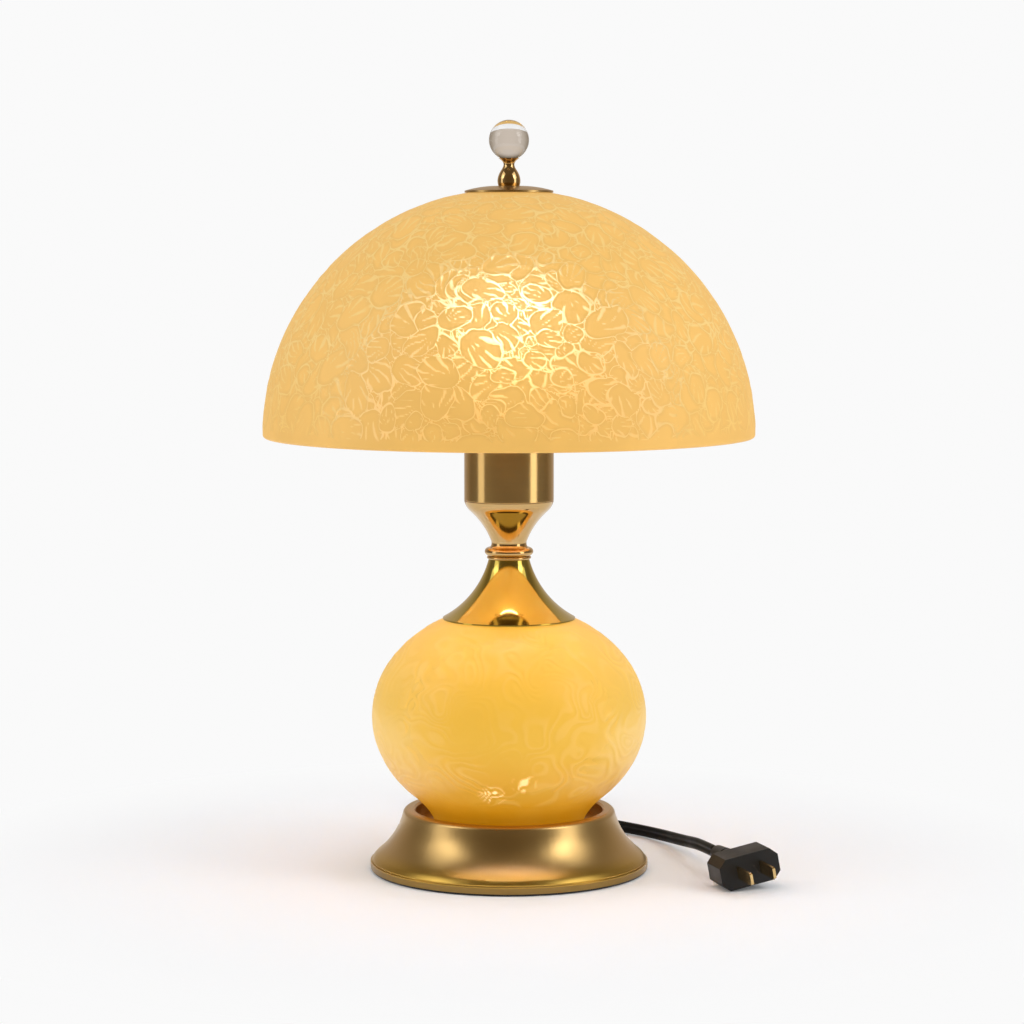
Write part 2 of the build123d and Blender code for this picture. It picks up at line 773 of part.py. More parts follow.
# Upright filaments between two small hubs, on top of the glass mount
filament_top_z = bulb_stem_z + filament_hub_thick + filament_length
with BuildPart() as bulb_filament:
    for hub_z in (bulb_stem_z, filament_top_z):
        with BuildSketch(Plane.XY.offset(hub_z)):
            Circle(filament_circle + 2 * filament_radius)
            Circle(filament_circle - 2 * filament_radius, mode=Mode.SUBTRACT)
            Rectangle(2 * filament_circle, 2 * filament_radius)
            Rectangle(2 * filament_radius, 2 * filament_circle)
        extrude(amount=filament_hub_thick)
    with BuildSketch(Plane.XY.offset(bulb_stem_z + filament_hub_thick)):
        with PolarLocations(filament_circle, filament_count):
            Circle(filament_radius)
    extrude(amount=filament_length)

# Harp: one bent wire with a flat foot on each ear of the saddle
knee_z = harp_foot_z + harp_foot_height + harp_knee_rise
belly_z = harp_foot_z + harp_belly_rise
shoulder_z = harp_top_z - harp_shoulder_drop
foot_top_z = harp_foot_z + harp_foot_height
harp_right = [
    (harp_top_half, harp_top_z),
    (harp_half_width, shoulder_z),
    (harp_half_width, belly_z),
    (harp_leg_x, knee_z),
    (harp_leg_x, foot_top_z),
]
harp_left = [(-x, z) for x, z in reversed(harp_right)]
harp_rounds = [harp_knee_round, harp_belly_round, harp_shoulder_round, harp_top_round]
with BuildPart() as harp_frame:
    with BuildLine(Plane.XZ):
        FilletPolyline(*harp_left, *harp_right, radius=harp_rounds + harp_rounds[::-1])
    with BuildSketch(Plane.XY.offset(foot_top_z)):
        with Locations((-harp_leg_x, 0)):
            Circle(harp_wire_radius)
    sweep()
    with BuildSketch(Plane.XY.offset(harp_foot_z)):
        with Locations((-harp_leg_x, 0), (harp_leg_x, 0)):
            Rectangle(harp_foot_thick, harp_foot_width)
    extrude(amount=harp_foot_height)


def harp_sleeve(side_x):
    """A sleeve that locks one foot of the harp to its ear."""
    with BuildPart() as piece:
        with BuildSketch(Plane.XY.offset(saddle_shoulder_z)):
            with Locations((side_x, 0)):
                Rectangle(
                    harp_foot_thick + 2 * slide_clear + 2 * sleeve_wall,
                    harp_foot_width + 2 * slide_clear + 2 * sleeve_wall,
                )
                Rectangle(
                    harp_foot_thick + 2 * slide_clear,
                    harp_foot_width + 2 * slide_clear,
                    mode=Mode.SUBTRACT,
                )
        extrude(amount=sleeve_length)
        fillet(piece.edges().filter_by(Axis.Z).group_by(SortBy.DISTANCE)[-1], sleeve_wall / 2)
    return piece


harp_sleeve_left = harp_sleeve(-harp_leg_x)
harp_sleeve_right = harp_sleeve(harp_leg_x)

# Stud on top of the harp, with a groove for the wire
with BuildPart() as harp_stud:
    with BuildSketch(Plane.XY.offset(stud_base_z)):
        Circle(stud_base_radius)
    extrude(amount=stud_base_height)
    with BuildSketch(Plane.XY.offset(seat_washer_z)):
        Circle(stud_radius)
    extrude(amount=stud_top_z - seat_washer_z)
    with BuildSketch(Plane.YZ.offset(-stud_base_radius)):
        with Locations((0, harp_top_z)):
            Circle(harp_wire_radius + rod_clear)
    extrude(amount=2 * stud_base_radius, mode=Mode.SUBTRACT)

stud_hole = stud_radius + finial_bore_clear
seat_washer = ring(seat_washer_radius, stud_hole, seat_washer_z, seat_washer_thick)
shade_gasket_inner = ring(inner_gasket_radius, stud_hole, inner_gasket_z, inner_gasket_thick)
shade_gasket_outer = ring(outer_gasket_radius, stud_hole, outer_gasket_z, outer_gasket_thick)

# Shade: a dome of glass with a rounded lip and a hole for the stud
lip_z = shade_centre_height + shade_cut
shade_lip_outer = math.sqrt(shade_radius**2 - shade_cut**2)
shade_lip_inner = math.sqrt(shade_inner_radius**2 - shade_cut**2)
shade_top_outer = dome_z(shade_radius, shade_hole_radius)
shade_top_inner = dome_z(shade_inner_radius, shade_hole_radius)
with BuildPart() as shade:
    with BuildSketch(Plane.XZ):
        with BuildLine():
            TangentArc(
                (shade_lip_outer, lip_z),
                (shade_hole_radius, shade_top_outer),
                tangent=(-shade_cut, shade_lip_outer),
            )
            Line((shade_hole_radius, shade_top_outer), (shade_hole_radius, shade_top_inner))
            TangentArc(
                (shade_lip_inner, lip_z),
                (shade_hole_radius, shade_top_inner),
                tangent=(-shade_cut, shade_lip_inner),
            )
            TangentArc((shade_lip_inner, lip_z), (shade_lip_outer, lip_z), tangent=(0, -1))
        make_face()
    revolve(axis=Axis.Z)

# Cap: a shallow spun dome with a flat middle
with BuildPart() as shade_cap:
    with BuildSketch(Plane.XZ):
        with BuildLine():
            RadiusArc((cap_flat_radius, finial_z), (cap_radius, cap_edge_z + cap_thick), cap_sweep_radius)
            Line((cap_radius, cap_edge_z + cap_thick), (cap_radius, cap_edge_z))
            RadiusArc((cap_flat_radius, cap_under_z), (cap_radius, cap_edge_z), cap_sweep_radius)
            Polyline(
                (cap_flat_radius, cap_under_z),
                (stud_hole, cap_under_z),
                (stud_hole, finial_z),
                (cap_flat_radius, finial_z),
            )
        make_face()
    revolve(axis=Axis.Z)

# Finial: turned stem with a blind threaded bore and a cup for the ball
finial_belly = (finial_belly_radius, finial_z + finial_belly_height)
finial_shoulder = (finial_shoulder_radius, finial_z + finial_shoulder_height)
finial_neck = (finial_neck_radius, finial_z + finial_neck_height)
finial_rim = (finial_cup_radius, finial_z + finial_cup_height)
with BuildPart() as finial_stem:
    with BuildSketch(Plane.XZ):
        with BuildLine():
            Polyline(
                (finial_foot_radius, finial_z),
                (stud_hole, finial_z),
                (stud_hole, finial_z + finial_bore_depth),
                (0, finial_z + finial_bore_depth),
                (0, finial_rim[1]),
                finial_rim,
            )
            Spline(
                (finial_foot_radius, finial_z),
                finial_belly,
                finial_shoulder,
                finial_neck,
                finial_rim,
            )
        make_face()
    revolve(axis=Axis.Z)
    with Locations((0, 0, ball_z)):
        Sphere(finial_ball_radius + finial_ball_clear, mode=Mode.SUBTRACT)

with BuildPart() as finial_ball:
    with Locations((0, 0, ball_z)):
        Sphere(finial_ball_radius)

# Cord: stadium section, on edge
cord_area = cord_thick * (cord_width - cord_thick) + math.pi * cord_thick**2 / 4


def on_edge(path):
    """Plane across the start of a cord's path, with its Y up."""
    along = path % 0
    return Plane(origin=path @ 0, x_dir=(along.Y, -along.X, 0), z_dir=along)


def corner_radii(points):
    """Radius at each inner point of a route: as large as its two runs allow."""
    radii = []
    for before, here, after in zip(points, points[1:], points[2:]):
        turn = math.radians((here - before).get_angle(after - here))
        run = min((here - before).length, (after - here).length)
        radii.append(corner_share * run / math.tan(turn / 2))
    return radii


def report_tube(name, piece, length, radii):
    """Prints how a tube's volume compares with its section times its length, and its radii."""
    share = piece.part.volume / (cord_area * length)
    print(f"{name}: length {length:.1f}, volume share {share:.4f}, radii", [round(r, 1) for r in radii])


def lay_cord(points):
    """A stretch of cord along a route of points, with the length of its middle line and its radii."""
    radii = corner_radii(points)
    with BuildPart() as piece:
        with BuildLine() as path:
            FilletPolyline(*points, radius=radii)
        with BuildSketch(on_edge(path.line)):
            SlotOverall(cord_width, cord_thick, rotation=90)
        sweep()
    return piece, path.wire().length, radii


# Coil: half turns that spiral in on the upper layer, drop in one half turn, and spiral out below
coil_step = (cord_thick + coil_turn_gap) / 2
coil_low_z = coil_lift + cord_width / 2
coil_high_z = coil_low_z + cord_width + coil_layer_gap
coil_half_turns = 2 * coil_turns
coil_start = Vector(coil_x + coil_radius, coil_y, coil_high_z)
coil_lead_in = coil_start - Vector(0, cord_width, 0)
coil_arcs = []
x_now = coil_start.X
for half in range(coil_half_turns):
    reach = coil_radius - half * coil_step
    side = 1 if half % 2 == 0 else -1
    x_next = x_now - 2 * side * reach
    middle = Vector((x_now + x_next) / 2, coil_y + side * reach, coil_high_z)
    coil_arcs.append((Vector(x_now, coil_y, coil_high_z), middle, Vector(x_next, coil_y, coil_high_z)))
    x_now = x_next
drop_reach = coil_radius - coil_half_turns * coil_step
drop_start = Vector(x_now, coil_y, coil_high_z)
drop_end = Vector(x_now - 2 * drop_reach, coil_y, coil_low_z)
drop_half = (drop_end - drop_start).length / 2
drop_middle = (drop_start + drop_end) / 2 + Vector(0, drop_half, 0)
x_now = drop_end.X
for half in range(coil_half_turns):
    reach = drop_reach + (half + 1) * coil_step
    side = -1 if half % 2 == 0 else 1
    x_next = x_now - 2 * side * reach
    middle = Vector((x_now + x_next) / 2, coil_y + side * reach, coil_low_z)
    coil_arcs.append((Vector(x_now, coil_y, coil_low_z), middle, Vector(x_next, coil_y, coil_low_z)))
    x_now = x_next
leave_reach = drop_reach + (coil_half_turns + 1) * coil_step
leave_centre = Vector(x_now + leave_reach, coil_y, coil_low_z)


def on_leaving_turn(angle):
    """Point on the part of a turn by which the cord leaves the coil."""
    turn = math.radians(angle)
    return leave_centre + Vector(math.cos(turn), math.sin(turn), 0) * leave_reach


leave_dir = Vector(1, 0, 0).rotate(Axis.Z, coil_leave_angle + 90)
leave_point = on_leaving_turn(coil_leave_angle)
coil_lead_out = leave_point + leave_dir * cord_width
with BuildPart() as cord_coil:
    with BuildLine() as coil_line:
        Line(coil_lead_in, coil_start)
        for first, middle, last in coil_arcs[:coil_half_turns]:
            ThreePointArc(first, middle, last)
        TangentArc(drop_start, drop_middle, tangent=(0, 1, 0))
        TangentArc(drop_middle, drop_end, tangent=drop_end - drop_start)
        for first, middle, last in coil_arcs[coil_half_turns:]:
            ThreePointArc(first, middle, last)
        ThreePointArc(
            on_leaving_turn(180), on_leaving_turn((180 + coil_leave_angle) / 2), leave_point
        )
        Line(leave_point, coil_lead_out)
    with BuildSketch(on_edge(coil_line.line)):
        SlotOverall(cord_width, cord_thick, rotation=90)
    sweep()
coil_wire = coil_line.wire()
coil_length = coil_wire.length


def coil_gap(samples=900):
    """Least gap between two turns of the coil, from points along its middle line."""
    points = [coil_wire @ (k / samples) for k in range(samples + 1)]
    apart = int(samples * math.pi * drop_reach / coil_length)
    least = math.inf
    for i in range(len(points)):
        for j in range(i + apart, len(points)):
            aside = math.hypot(points[i].X - points[j].X, points[i].Y - points[j].Y) - cord_thick
            above = abs(points[i].Z - points[j].Z) - cord_width
            least = min(least, max(aside, above))
    return least


print(f"least gap between turns of the coil: {coil_gap():.2f}")
report_tube("cord_coil", cord_coil, coil_length, [drop_reach, coil_radius])

# Tie round the bundle of turns, at the back of the coil
tie_near = coil_y + drop_reach - cord_thick / 2 - tie_gap
tie_far = coil_y + coil_radius + cord_thick / 2 + tie_gap
tie_low = coil_lift - tie_gap
tie_high = coil_high_z + cord_width / 2 + tie_gap
tie_middle = ((tie_near + tie_far) / 2, (tie_low + tie_high) / 2)
with BuildPart() as coil_tie:
    with BuildSketch(Plane.YZ.offset(coil_x - tie_width / 2)):
        with Locations(tie_middle):
            RectangleRounded(
                tie_far - tie_near + 2 * tie_thick, tie_high - tie_low + 2 * tie_thick, 2 * tie_thick
            )
            RectangleRounded(tie_far - tie_near, tie_high - tie_low, tie_thick, mode=Mode.SUBTRACT)
    extrude(amount=tie_width)

# Plug: heading along the floor, rolled a little on to one edge
plug_dir = Vector(1, 0, 0).rotate(Axis.Z, plug_heading)
plug_side = Vector(-plug_dir.Y, plug_dir.X, 0) * math.cos(math.radians(plug_roll))
plug_side += Vector(0, 0, math.sin(math.radians(plug_roll)))
plug_back = Vector(plug_x, plug_y, plug_z)
plug_plane = Plane(origin=plug_back, x_dir=plug_side, z_dir=plug_dir)
relief_start = plug_back - plug_dir * relief_length
with BuildPart() as plug_body:
    with BuildSketch(plug_plane):
        Rectangle(plug_width, plug_thick)
        chamfer(vertices(), plug_corner)
    extrude(amount=plug_depth)
    chamfer(plug_body.faces().sort_by(Axis(plug_back, plug_dir))[0].edges(), plug_edge)
    with BuildSketch(plug_plane.offset(plug_depth - blade_root)):
        with Locations((-blade_spacing / 2, 0), (blade_spacing / 2, 0)):
            Rectangle(blade_thick + 2 * blade_fit, blade_width + 2 * blade_fit)
    extrude(amount=blade_root, mode=Mode.SUBTRACT)


def plug_blade(side_x):
    """A flat brass blade with a narrowed tip."""
    with BuildPart() as piece:
        with BuildSketch(plug_plane.offset(plug_depth - blade_root)):
            with Locations((side_x, 0)):
                Rectangle(blade_thick, blade_width)
        extrude(amount=blade_root + blade_length)
        tip = piece.faces().sort_by(Axis(plug_back, plug_dir))[-1]
        chamfer(tip.edges().sort_by(Edge.length)[:2], blade_tip, blade_tip / 2)
    return piece


plug_blade_left = plug_blade(-blade_spacing / 2)
plug_blade_right = plug_blade(blade_spacing / 2)


def relief_radius_at(reach):
    """Radius of the tapered strain relief, at a distance from its thin end."""
    return relief_end_radius + (relief_radius - relief_end_radius) * reach / relief_length


relief_outline = [(0, 0), (0, relief_end_radius)]
for count in range(relief_grooves):
    near = relief_length - relief_pitch * (relief_grooves - count)
    far = near + relief_groove_width
    relief_outline.append((near, relief_radius_at(near)))
    relief_outline.append((near, relief_radius_at(near) - relief_groove))
    relief_outline.append((far, relief_radius_at(far) - relief_groove))
    relief_outline.append((far, relief_radius_at(far)))
relief_outline += [(relief_length, relief_radius), (relief_length, 0)]
relief_section = Plane(origin=relief_start, x_dir=plug_dir, z_dir=(plug_dir.Y, -plug_dir.X, 0))
with BuildPart() as plug_strain_relief:
    with BuildSketch(relief_section):
        with BuildLine():
            Polyline(*relief_outline, close=True)
        make_face()
    revolve(axis=Axis(relief_start, plug_dir))

# Cord from the bushing to the coil, level with the coil's upper layer
bushing_tip = bushing_start + bushing_dir * bushing_end
to_coil_points = [
    bushing_tip,
    bushing_tip + bushing_dir * cord_straight_out,
    coil_lead_in - Vector(0, coil_run_in, 0),
    coil_lead_in,
]
cord_to_coil, to_coil_length, to_coil_radii = lay_cord(to_coil_points)
report_tube("cord_to_coil", cord_to_coil, to_coil_length, to_coil_radii)

# Cord from the coil round the right of the base to the plug
to_plug_points = [coil_lead_out, coil_lead_out + leave_dir * coil_run_out]
for angle, standoff, height in cord_route:
    outward = Vector(1, 0, 0).rotate(Axis.Z, angle)
    to_plug_points.append(outward * (foot_radius + standoff) + Vector(0, 0, height))
to_plug_points += [relief_start - plug_dir * plug_run_in, relief_start]
cord_to_plug, to_plug_length, to_plug_radii = lay_cord(to_plug_points)
report_tube("cord_to_plug", cord_to_plug, to_plug_length, to_plug_radii)
print(f"cord from bushing to plug: {to_coil_length + coil_length + to_plug_length:.0f}")

pieces = {
    "felt_pad": felt_pad,
    "bottom_cover": bottom_cover,
    "base_casting": base_casting,
    "base_weight": base_weight,
    "rod_washer": rod_washer,
    "rod_nut_lower": rod_nut_lower,
    "threaded_rod": threaded_rod,
    "inner_lead": inner_lead,
    "cord_bushing": cord_bushing,
    "seat_gasket": seat_gasket,
    "globe": globe,
    "globe_gasket": globe_gasket,
    "globe_washer": globe_washer,
    "globe_nut": globe_nut,
    "skirt": skirt,
    "neck_ring": neck_ring,
    "neck_taper": neck_taper,
    "socket_cup": socket_cup,
    "harp_saddle": harp_saddle,
    "rod_nut_upper": rod_nut_upper,
    "socket_cap": socket_cap,
    "socket_body": socket_body,
    "socket_contact": socket_contact,
    "socket_screw_shell": socket_screw_shell,
    "socket_shell": socket_shell,
    "switch_shaft": switch_shaft,
    "switch_knob": switch_knob,
    "bulb_contact": bulb_contact,
    "bulb_insulator": bulb_insulator,
    "bulb_screw_cap": bulb_screw_cap,
    "bulb_envelope": bulb_envelope,
    "bulb_stem": bulb_stem,
    "bulb_filament": bulb_filament,
    "harp_frame": harp_frame,
    "harp_sleeve_left": harp_sleeve_left,
    "harp_sleeve_right": harp_sleeve_right,
    "harp_stud": harp_stud,
    "seat_washer": seat_washer,
    "shade_gasket_inner": shade_gasket_inner,
    "shade": shade,
    "shade_gasket_outer": shade_gasket_outer,
    "shade_cap": shade_cap,
    "finial_stem": finial_stem,
    "finial_ball": finial_ball,
    "cord_to_coil": cord_to_coil,
    "cord_coil": cord_coil,
    "coil_tie": coil_tie,
    "cord_to_plug": cord_to_plug,
    "plug_strain_relief": plug_strain_relief,
    "plug_body": plug_body,
    "plug_blade_left": plug_blade_left,
    "plug_blade_right": plug_blade_right,
}
for name, piece in pieces.items():
    piece.part.label = name
    export_step(piece.part, f"parts/{name}.step")
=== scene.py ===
"""Looks of the table lamp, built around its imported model.

Metres, +Z up. The shapes that are worked out here are in millimetres until they become meshes. The lamp's
axis is Z, the photograph looks along +Y, and the back of the lamp is at +Y.
"""

import math

import bpy
import numpy as np
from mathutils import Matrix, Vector


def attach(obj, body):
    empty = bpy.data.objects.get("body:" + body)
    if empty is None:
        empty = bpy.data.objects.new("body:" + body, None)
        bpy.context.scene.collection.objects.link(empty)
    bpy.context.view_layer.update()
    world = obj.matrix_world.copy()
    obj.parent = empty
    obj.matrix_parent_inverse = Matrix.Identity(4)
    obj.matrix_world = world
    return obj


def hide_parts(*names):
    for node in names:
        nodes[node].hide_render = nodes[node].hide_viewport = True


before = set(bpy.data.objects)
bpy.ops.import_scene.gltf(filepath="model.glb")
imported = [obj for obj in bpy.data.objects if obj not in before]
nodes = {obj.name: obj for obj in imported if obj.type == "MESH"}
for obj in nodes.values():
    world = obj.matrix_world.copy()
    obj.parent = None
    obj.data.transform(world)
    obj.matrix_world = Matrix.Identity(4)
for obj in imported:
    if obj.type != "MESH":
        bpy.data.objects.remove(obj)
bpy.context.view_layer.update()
scene = bpy.context.scene
scene.view_settings.view_transform = "Standard"
MM = 0.001


# Helpers for objects and numbers
def add_object(name, data):
    """A new object in the scene."""
    made = bpy.data.objects.new(name, data)
    scene.collection.objects.link(made)
    return made


def mesh_object(name, points, faces, materials, material_index=None):
    """A smooth-shaded mesh object."""
    mesh = bpy.data.meshes.new(name)
    mesh.from_pydata([tuple(p) for p in points], [], [tuple(f) for f in faces])
    for material in materials:
        mesh.materials.append(material)
    mesh.polygons.foreach_set("use_smooth", [True] * len(mesh.polygons))
    if material_index is not None:
        mesh.polygons.foreach_set("material_index", material_index)
    mesh.update()
    return add_object(name, mesh)


def put_attribute(mesh, name, values):
    """A number for each point of a mesh."""
    mesh.attributes.new(name, "FLOAT", "POINT").data.foreach_set("value", values)


def flat(angle, reach, height=0.0):
    """Point at an angle from +X, in degrees, a distance from the axis and a height."""
    turn = math.radians(angle)
    return Vector((reach * math.cos(turn), reach * math.sin(turn), height))


def smooth_step(low, high, value):
    """Smooth step from 0 at low to 1 at high."""
    share = np.clip((value - low) / (high - low), 0, 1)
    return share * share * (3 - 2 * share)


# Camera, at the photograph's height and tilt
SENSOR_WIDTH = 36.0
CAMERA_LENS = 105.779
CAMERA_PLACE = (0.0016, -1.600, 0.335)
CAMERA_TILT = 5.1002

camera_data = bpy.data.cameras.new("camera")
camera_data.sensor_width = SENSOR_WIDTH
camera_data.lens = CAMERA_LENS
camera = add_object("camera", camera_data)
camera.location = CAMERA_PLACE
camera.rotation_euler = (math.radians(90 - CAMERA_TILT), 0, 0)
scene.camera = camera


# Helpers for materials
NOISE_LOW, NOISE_HIGH = 0.3, 0.7
FINE_BUMP = 0.0001


def colour(red, green, blue):
    """Linear colour with full alpha."""
    return (red, green, blue, 1.0)


def shaded(base, share):
    """Colour made lighter or darker."""
    return colour(*(min(1.0, part * share) for part in base[:3]))


class Graph:
    """Short way to write a node tree: plain values are set on sockets, and sockets are linked."""

    def __init__(self, tree):
        self.tree = tree
        tree.nodes.clear()

    def add(self, kind, inputs=None, **settings):
        """A node with its settings and inputs."""
        node = self.tree.nodes.new(kind)
        for key, value in settings.items():
            setattr(node, key, value)
        for key, value in (inputs or {}).items():
            if isinstance(value, bpy.types.NodeSocket):
                self.tree.links.new(value, node.inputs[key])
            else:
                node.inputs[key].default_value = value
        return node

    def place(self):
        """Point on the object, in the model's own frame."""
        return self.add("ShaderNodeTexCoord").outputs["Object"]

    def split(self, vector):
        """X, Y and Z of a vector."""
        return self.add("ShaderNodeSeparateXYZ", {0: vector}).outputs

    def attribute(self, name):
        """Number that the mesh keeps for each point."""
        return self.add("ShaderNodeAttribute", attribute_name=name).outputs["Fac"]

    def math(self, operation, first, second=0.0, third=0.0, clamp=False):
        """Result of a Math node."""
        inputs = {0: first, 1: second, 2: third}
        return self.add("ShaderNodeMath", inputs, operation=operation, use_clamp=clamp).outputs[0]

    def length(self, first, second):
        """Length of two numbers at right angles."""
        squares = [self.math("MULTIPLY", side, side) for side in (first, second)]
        return self.math("SQRT", self.math("ADD", *squares))

    def blend(self, share, first, second):
        """Number between two numbers."""
        return self.add("ShaderNodeMix", {0: share, 2: first, 3: second}, data_type="FLOAT").outputs[0]

    def tint(self, share, first, second):
        """Colour between two colours."""
        return self.add("ShaderNodeMix", {0: share, 6: first, 7: second}, data_type="RGBA").outputs[2]

    def mottle(self, share, base, dark, light):
        """Colour between a darker and a lighter shade of a base colour."""
        return self.tint(share, shaded(base, dark), shaded(base, light))

    def step(self, value, low, high, to_low=0.0, to_high=1.0):
        """Smooth step from one value to another."""
        node = self.add(
            "ShaderNodeMapRange",
            {"Value": value, "From Min": low, "From Max": high, "To Min": to_low, "To Max": to_high},
            interpolation_type="SMOOTHSTEP",
        )
        return node.outputs["Result"]

    def spread(self, noise, to_low=0.0, to_high=1.0):
        """Noise stretched over a whole range."""
        return self.step(noise, NOISE_LOW, NOISE_HIGH, to_low, to_high)

    def noise(self, vector, scale, detail=2.0, roughness=0.5, distortion=0.0):
        """Noise with this many features to the metre."""
        inputs = {
            "Vector": vector,
            "Scale": scale,
            "Detail": detail,
            "Roughness": roughness,
            "Distortion": distortion,
        }
        return self.add("ShaderNodeTexNoise", inputs).outputs[0]

    def bump(self, height, strength, distance=FINE_BUMP):
        """Normal bent by a height."""
        node = self.add("ShaderNodeBump", {"Height": height, "Strength": strength, "Distance": distance})
        return node.outputs["Normal"]


def new_material(name):
    """A material, its empty graph and the point that it shades."""
    made = bpy.data.materials.new(name)
    made.use_nodes = True
    graph = Graph(made.node_tree)
    return made, graph, graph.place()


def finish_material(graph, inputs):
    """Principled shader with these inputs as the material's surface."""
    shader = graph.add("ShaderNodeBsdfPrincipled", inputs)
    graph.add("ShaderNodeOutputMaterial", {"Surface": shader.outputs[0]})


# Metals
BRASS = colour(0.55, 0.362, 0.138)
BRASS_BRIGHT = colour(0.60, 0.395, 0.165)
BRASS_LACQUERED = colour(0.545, 0.405, 0.085)
BRASS_PLAIN = colour(0.66, 0.46, 0.20)
LINE_LOW, LINE_HIGH = 0.25, 0.75
LINE_UNEVEN = 0.06
SMUDGE_LOW, SMUDGE_HIGH = 0.3, 0.8
SMUDGE_UNEVEN = 0.07
QUARTER_TURN = 0.25
# Painted reflection and painted shade on the base: an amber tint on its flare, and its foot darker near the
# floor
FLARE_REFLECTION_TINT = colour(0.53, 0.335, 0.070)
FLARE_TINT_LOW_Z, FLARE_TINT_HIGH_Z = 0.0075, 0.0135
# Painted shade: the foot band darker towards the floor, between these heights, down to this share of the
# brass colour
FOOT_SHADE_LOW_Z, FOOT_SHADE_HIGH_Z = 0.00368, 0.0046
FOOT_SHADE_TONE = 0.45


def turned_metal(name, base, rough, line_pitch, line_depth=0.0, patina=0.08, brushed=0.0, foot_shade=0.0):
    """Metal finished on a lathe: fine lines round the axis, a faint patina and uneven polish."""
    made, graph, place = new_material(name)
    x, y, z = graph.split(place)
    lines_at = graph.add("ShaderNodeCombineXYZ", {0: graph.length(x, y), 1: z}).outputs[0]
    lines = graph.noise(lines_at, 1 / line_pitch, detail=1.0)
    cloud = graph.noise(place, 26.0, detail=1.0)
    smudge = graph.noise(place, 60.0, detail=1.0)
    tone = graph.mottle(graph.spread(cloud), base, 1 - patina, 1 + patina)
    # With a share of painted shade at the foot, the base also gets the flare's painted reflection
    if foot_shade:
        # Painted reflection: an amber tint on the flare, as if it reflected the amber glass
        tone = graph.tint(graph.step(z, FLARE_TINT_HIGH_Z, FLARE_TINT_LOW_Z), tone, FLARE_REFLECTION_TINT)
        # Painted shade: darker towards the floor
        low = graph.step(z, FOOT_SHADE_HIGH_Z, FOOT_SHADE_LOW_Z, 0.0, foot_shade)
        tone = graph.tint(low, tone, shaded(base, FOOT_SHADE_TONE))
    glossy, dull = rough * (1 - LINE_UNEVEN), rough * (1 + LINE_UNEVEN)
    inputs = {
        "Base Color": tone,
        "Metallic": 1.0,
        "Roughness": graph.math(
            "ADD",
            graph.step(lines, LINE_LOW, LINE_HIGH, glossy, dull),
            graph.step(smudge, SMUDGE_LOW, SMUDGE_HIGH, 0.0, rough * SMUDGE_UNEVEN),
        ),
    }
    if line_depth:
        inputs["Normal"] = graph.bump(lines, line_depth)
    if brushed:
        inputs["Anisotropic"] = brushed
        inputs["Anisotropic Rotation"] = QUARTER_TURN
        inputs["Tangent"] = graph.add("ShaderNodeTangent", direction_type="RADIAL", axis="Z").outputs[0]
    finish_material(graph, inputs)
    return made


def rough_metal(name, base, rough, grain, depth):
    """Plain or cast metal: an even grain, with spots that are duller."""
    made, graph, place = new_material(name)
    fine = graph.noise(place, 1 / grain, detail=3.0, roughness=0.6)
    cloud = graph.noise(place, 55.0, detail=3.0, roughness=0.55)
    finish_material(
        graph,
        {
            "Base Color": graph.mottle(cloud, base, dark=0.85, light=1.1),
            "Metallic": 1.0,
            "Roughness": graph.spread(cloud, rough * 0.85, rough * 1.2),
            "Normal": graph.bump(fine, depth),
        },
    )
    return made


# Plastics, rubber and cloth
def moulded(name, base, rough, grain, depth, specular):
    """Moulded plastic or rubber: a fine spark-eroded grain and uneven gloss."""
    made, graph, place = new_material(name)
    fine = graph.noise(place, 1 / grain, roughness=0.6)
    cloud = graph.noise(place, 70.0, detail=3.0)
    finish_material(
        graph,
        {
            "Base Color": graph.mottle(cloud, base, dark=0.8, light=1.3),
            "Roughness": graph.spread(cloud, rough * 0.88, rough * 1.12),
            "Specular IOR Level": specular,
            "Normal": graph.bump(fine, depth),
        },
    )
    return made


def felt_cloth(name, base):
    """Felt: matted fibres."""
    made, graph, place = new_material(name)
    fibres = graph.noise(place, 900.0, detail=5.0, roughness=0.75, distortion=1.5)
    finish_material(
        graph,
        {
            "Base Color": graph.mottle(fibres, base, dark=0.55, light=1.5),
            "Roughness": 0.95,
            "Sheen Weight": 0.4,
            "Normal": graph.bump(fibres, strength=0.6, distance=0.0004),
        },
    )
    return made


def woven_band(name, base):
    """Narrow woven band: ribs across it and threads along it."""
    made, graph, place = new_material(name)
    wave = {"Vector": place, "Scale": 420.0, "Distortion": 0.6, "Detail": 1.0}
    ribs = graph.add("ShaderNodeTexWave", wave).outputs["Fac"]
    threads = graph.noise(place, 1800.0, roughness=0.6)
    height = graph.math("MULTIPLY_ADD", threads, 0.6, ribs)
    finish_material(
        graph,
        {
            "Base Color": graph.mottle(threads, base, dark=0.6, light=1.6),
            "Roughness": 0.85,
            "Sheen Weight": 0.06,
            "Normal": graph.bump(height, strength=0.5, distance=0.0003),
        },
    )
    return made


# Glass of the shade: cells of amber with clearer veins between them, which widen and thin out, and a painted
# glow of the bulb's light through it
SHADE_FOOT_Z, SHADE_TOP_Z = 0.2326, 0.3635
SHADE_IOR = 1.45
SHADE_AMBER = colour(0.60, 0.336, 0.074)
# Painted glow: the shade's own emission stands in for the bulb's light through the glass, brighter towards
# the top
PAINTED_SHADE_GLOW = colour(0.90, 0.555, 0.155)
GLOW_FOOT, GLOW_TOP = 0.33, 0.39
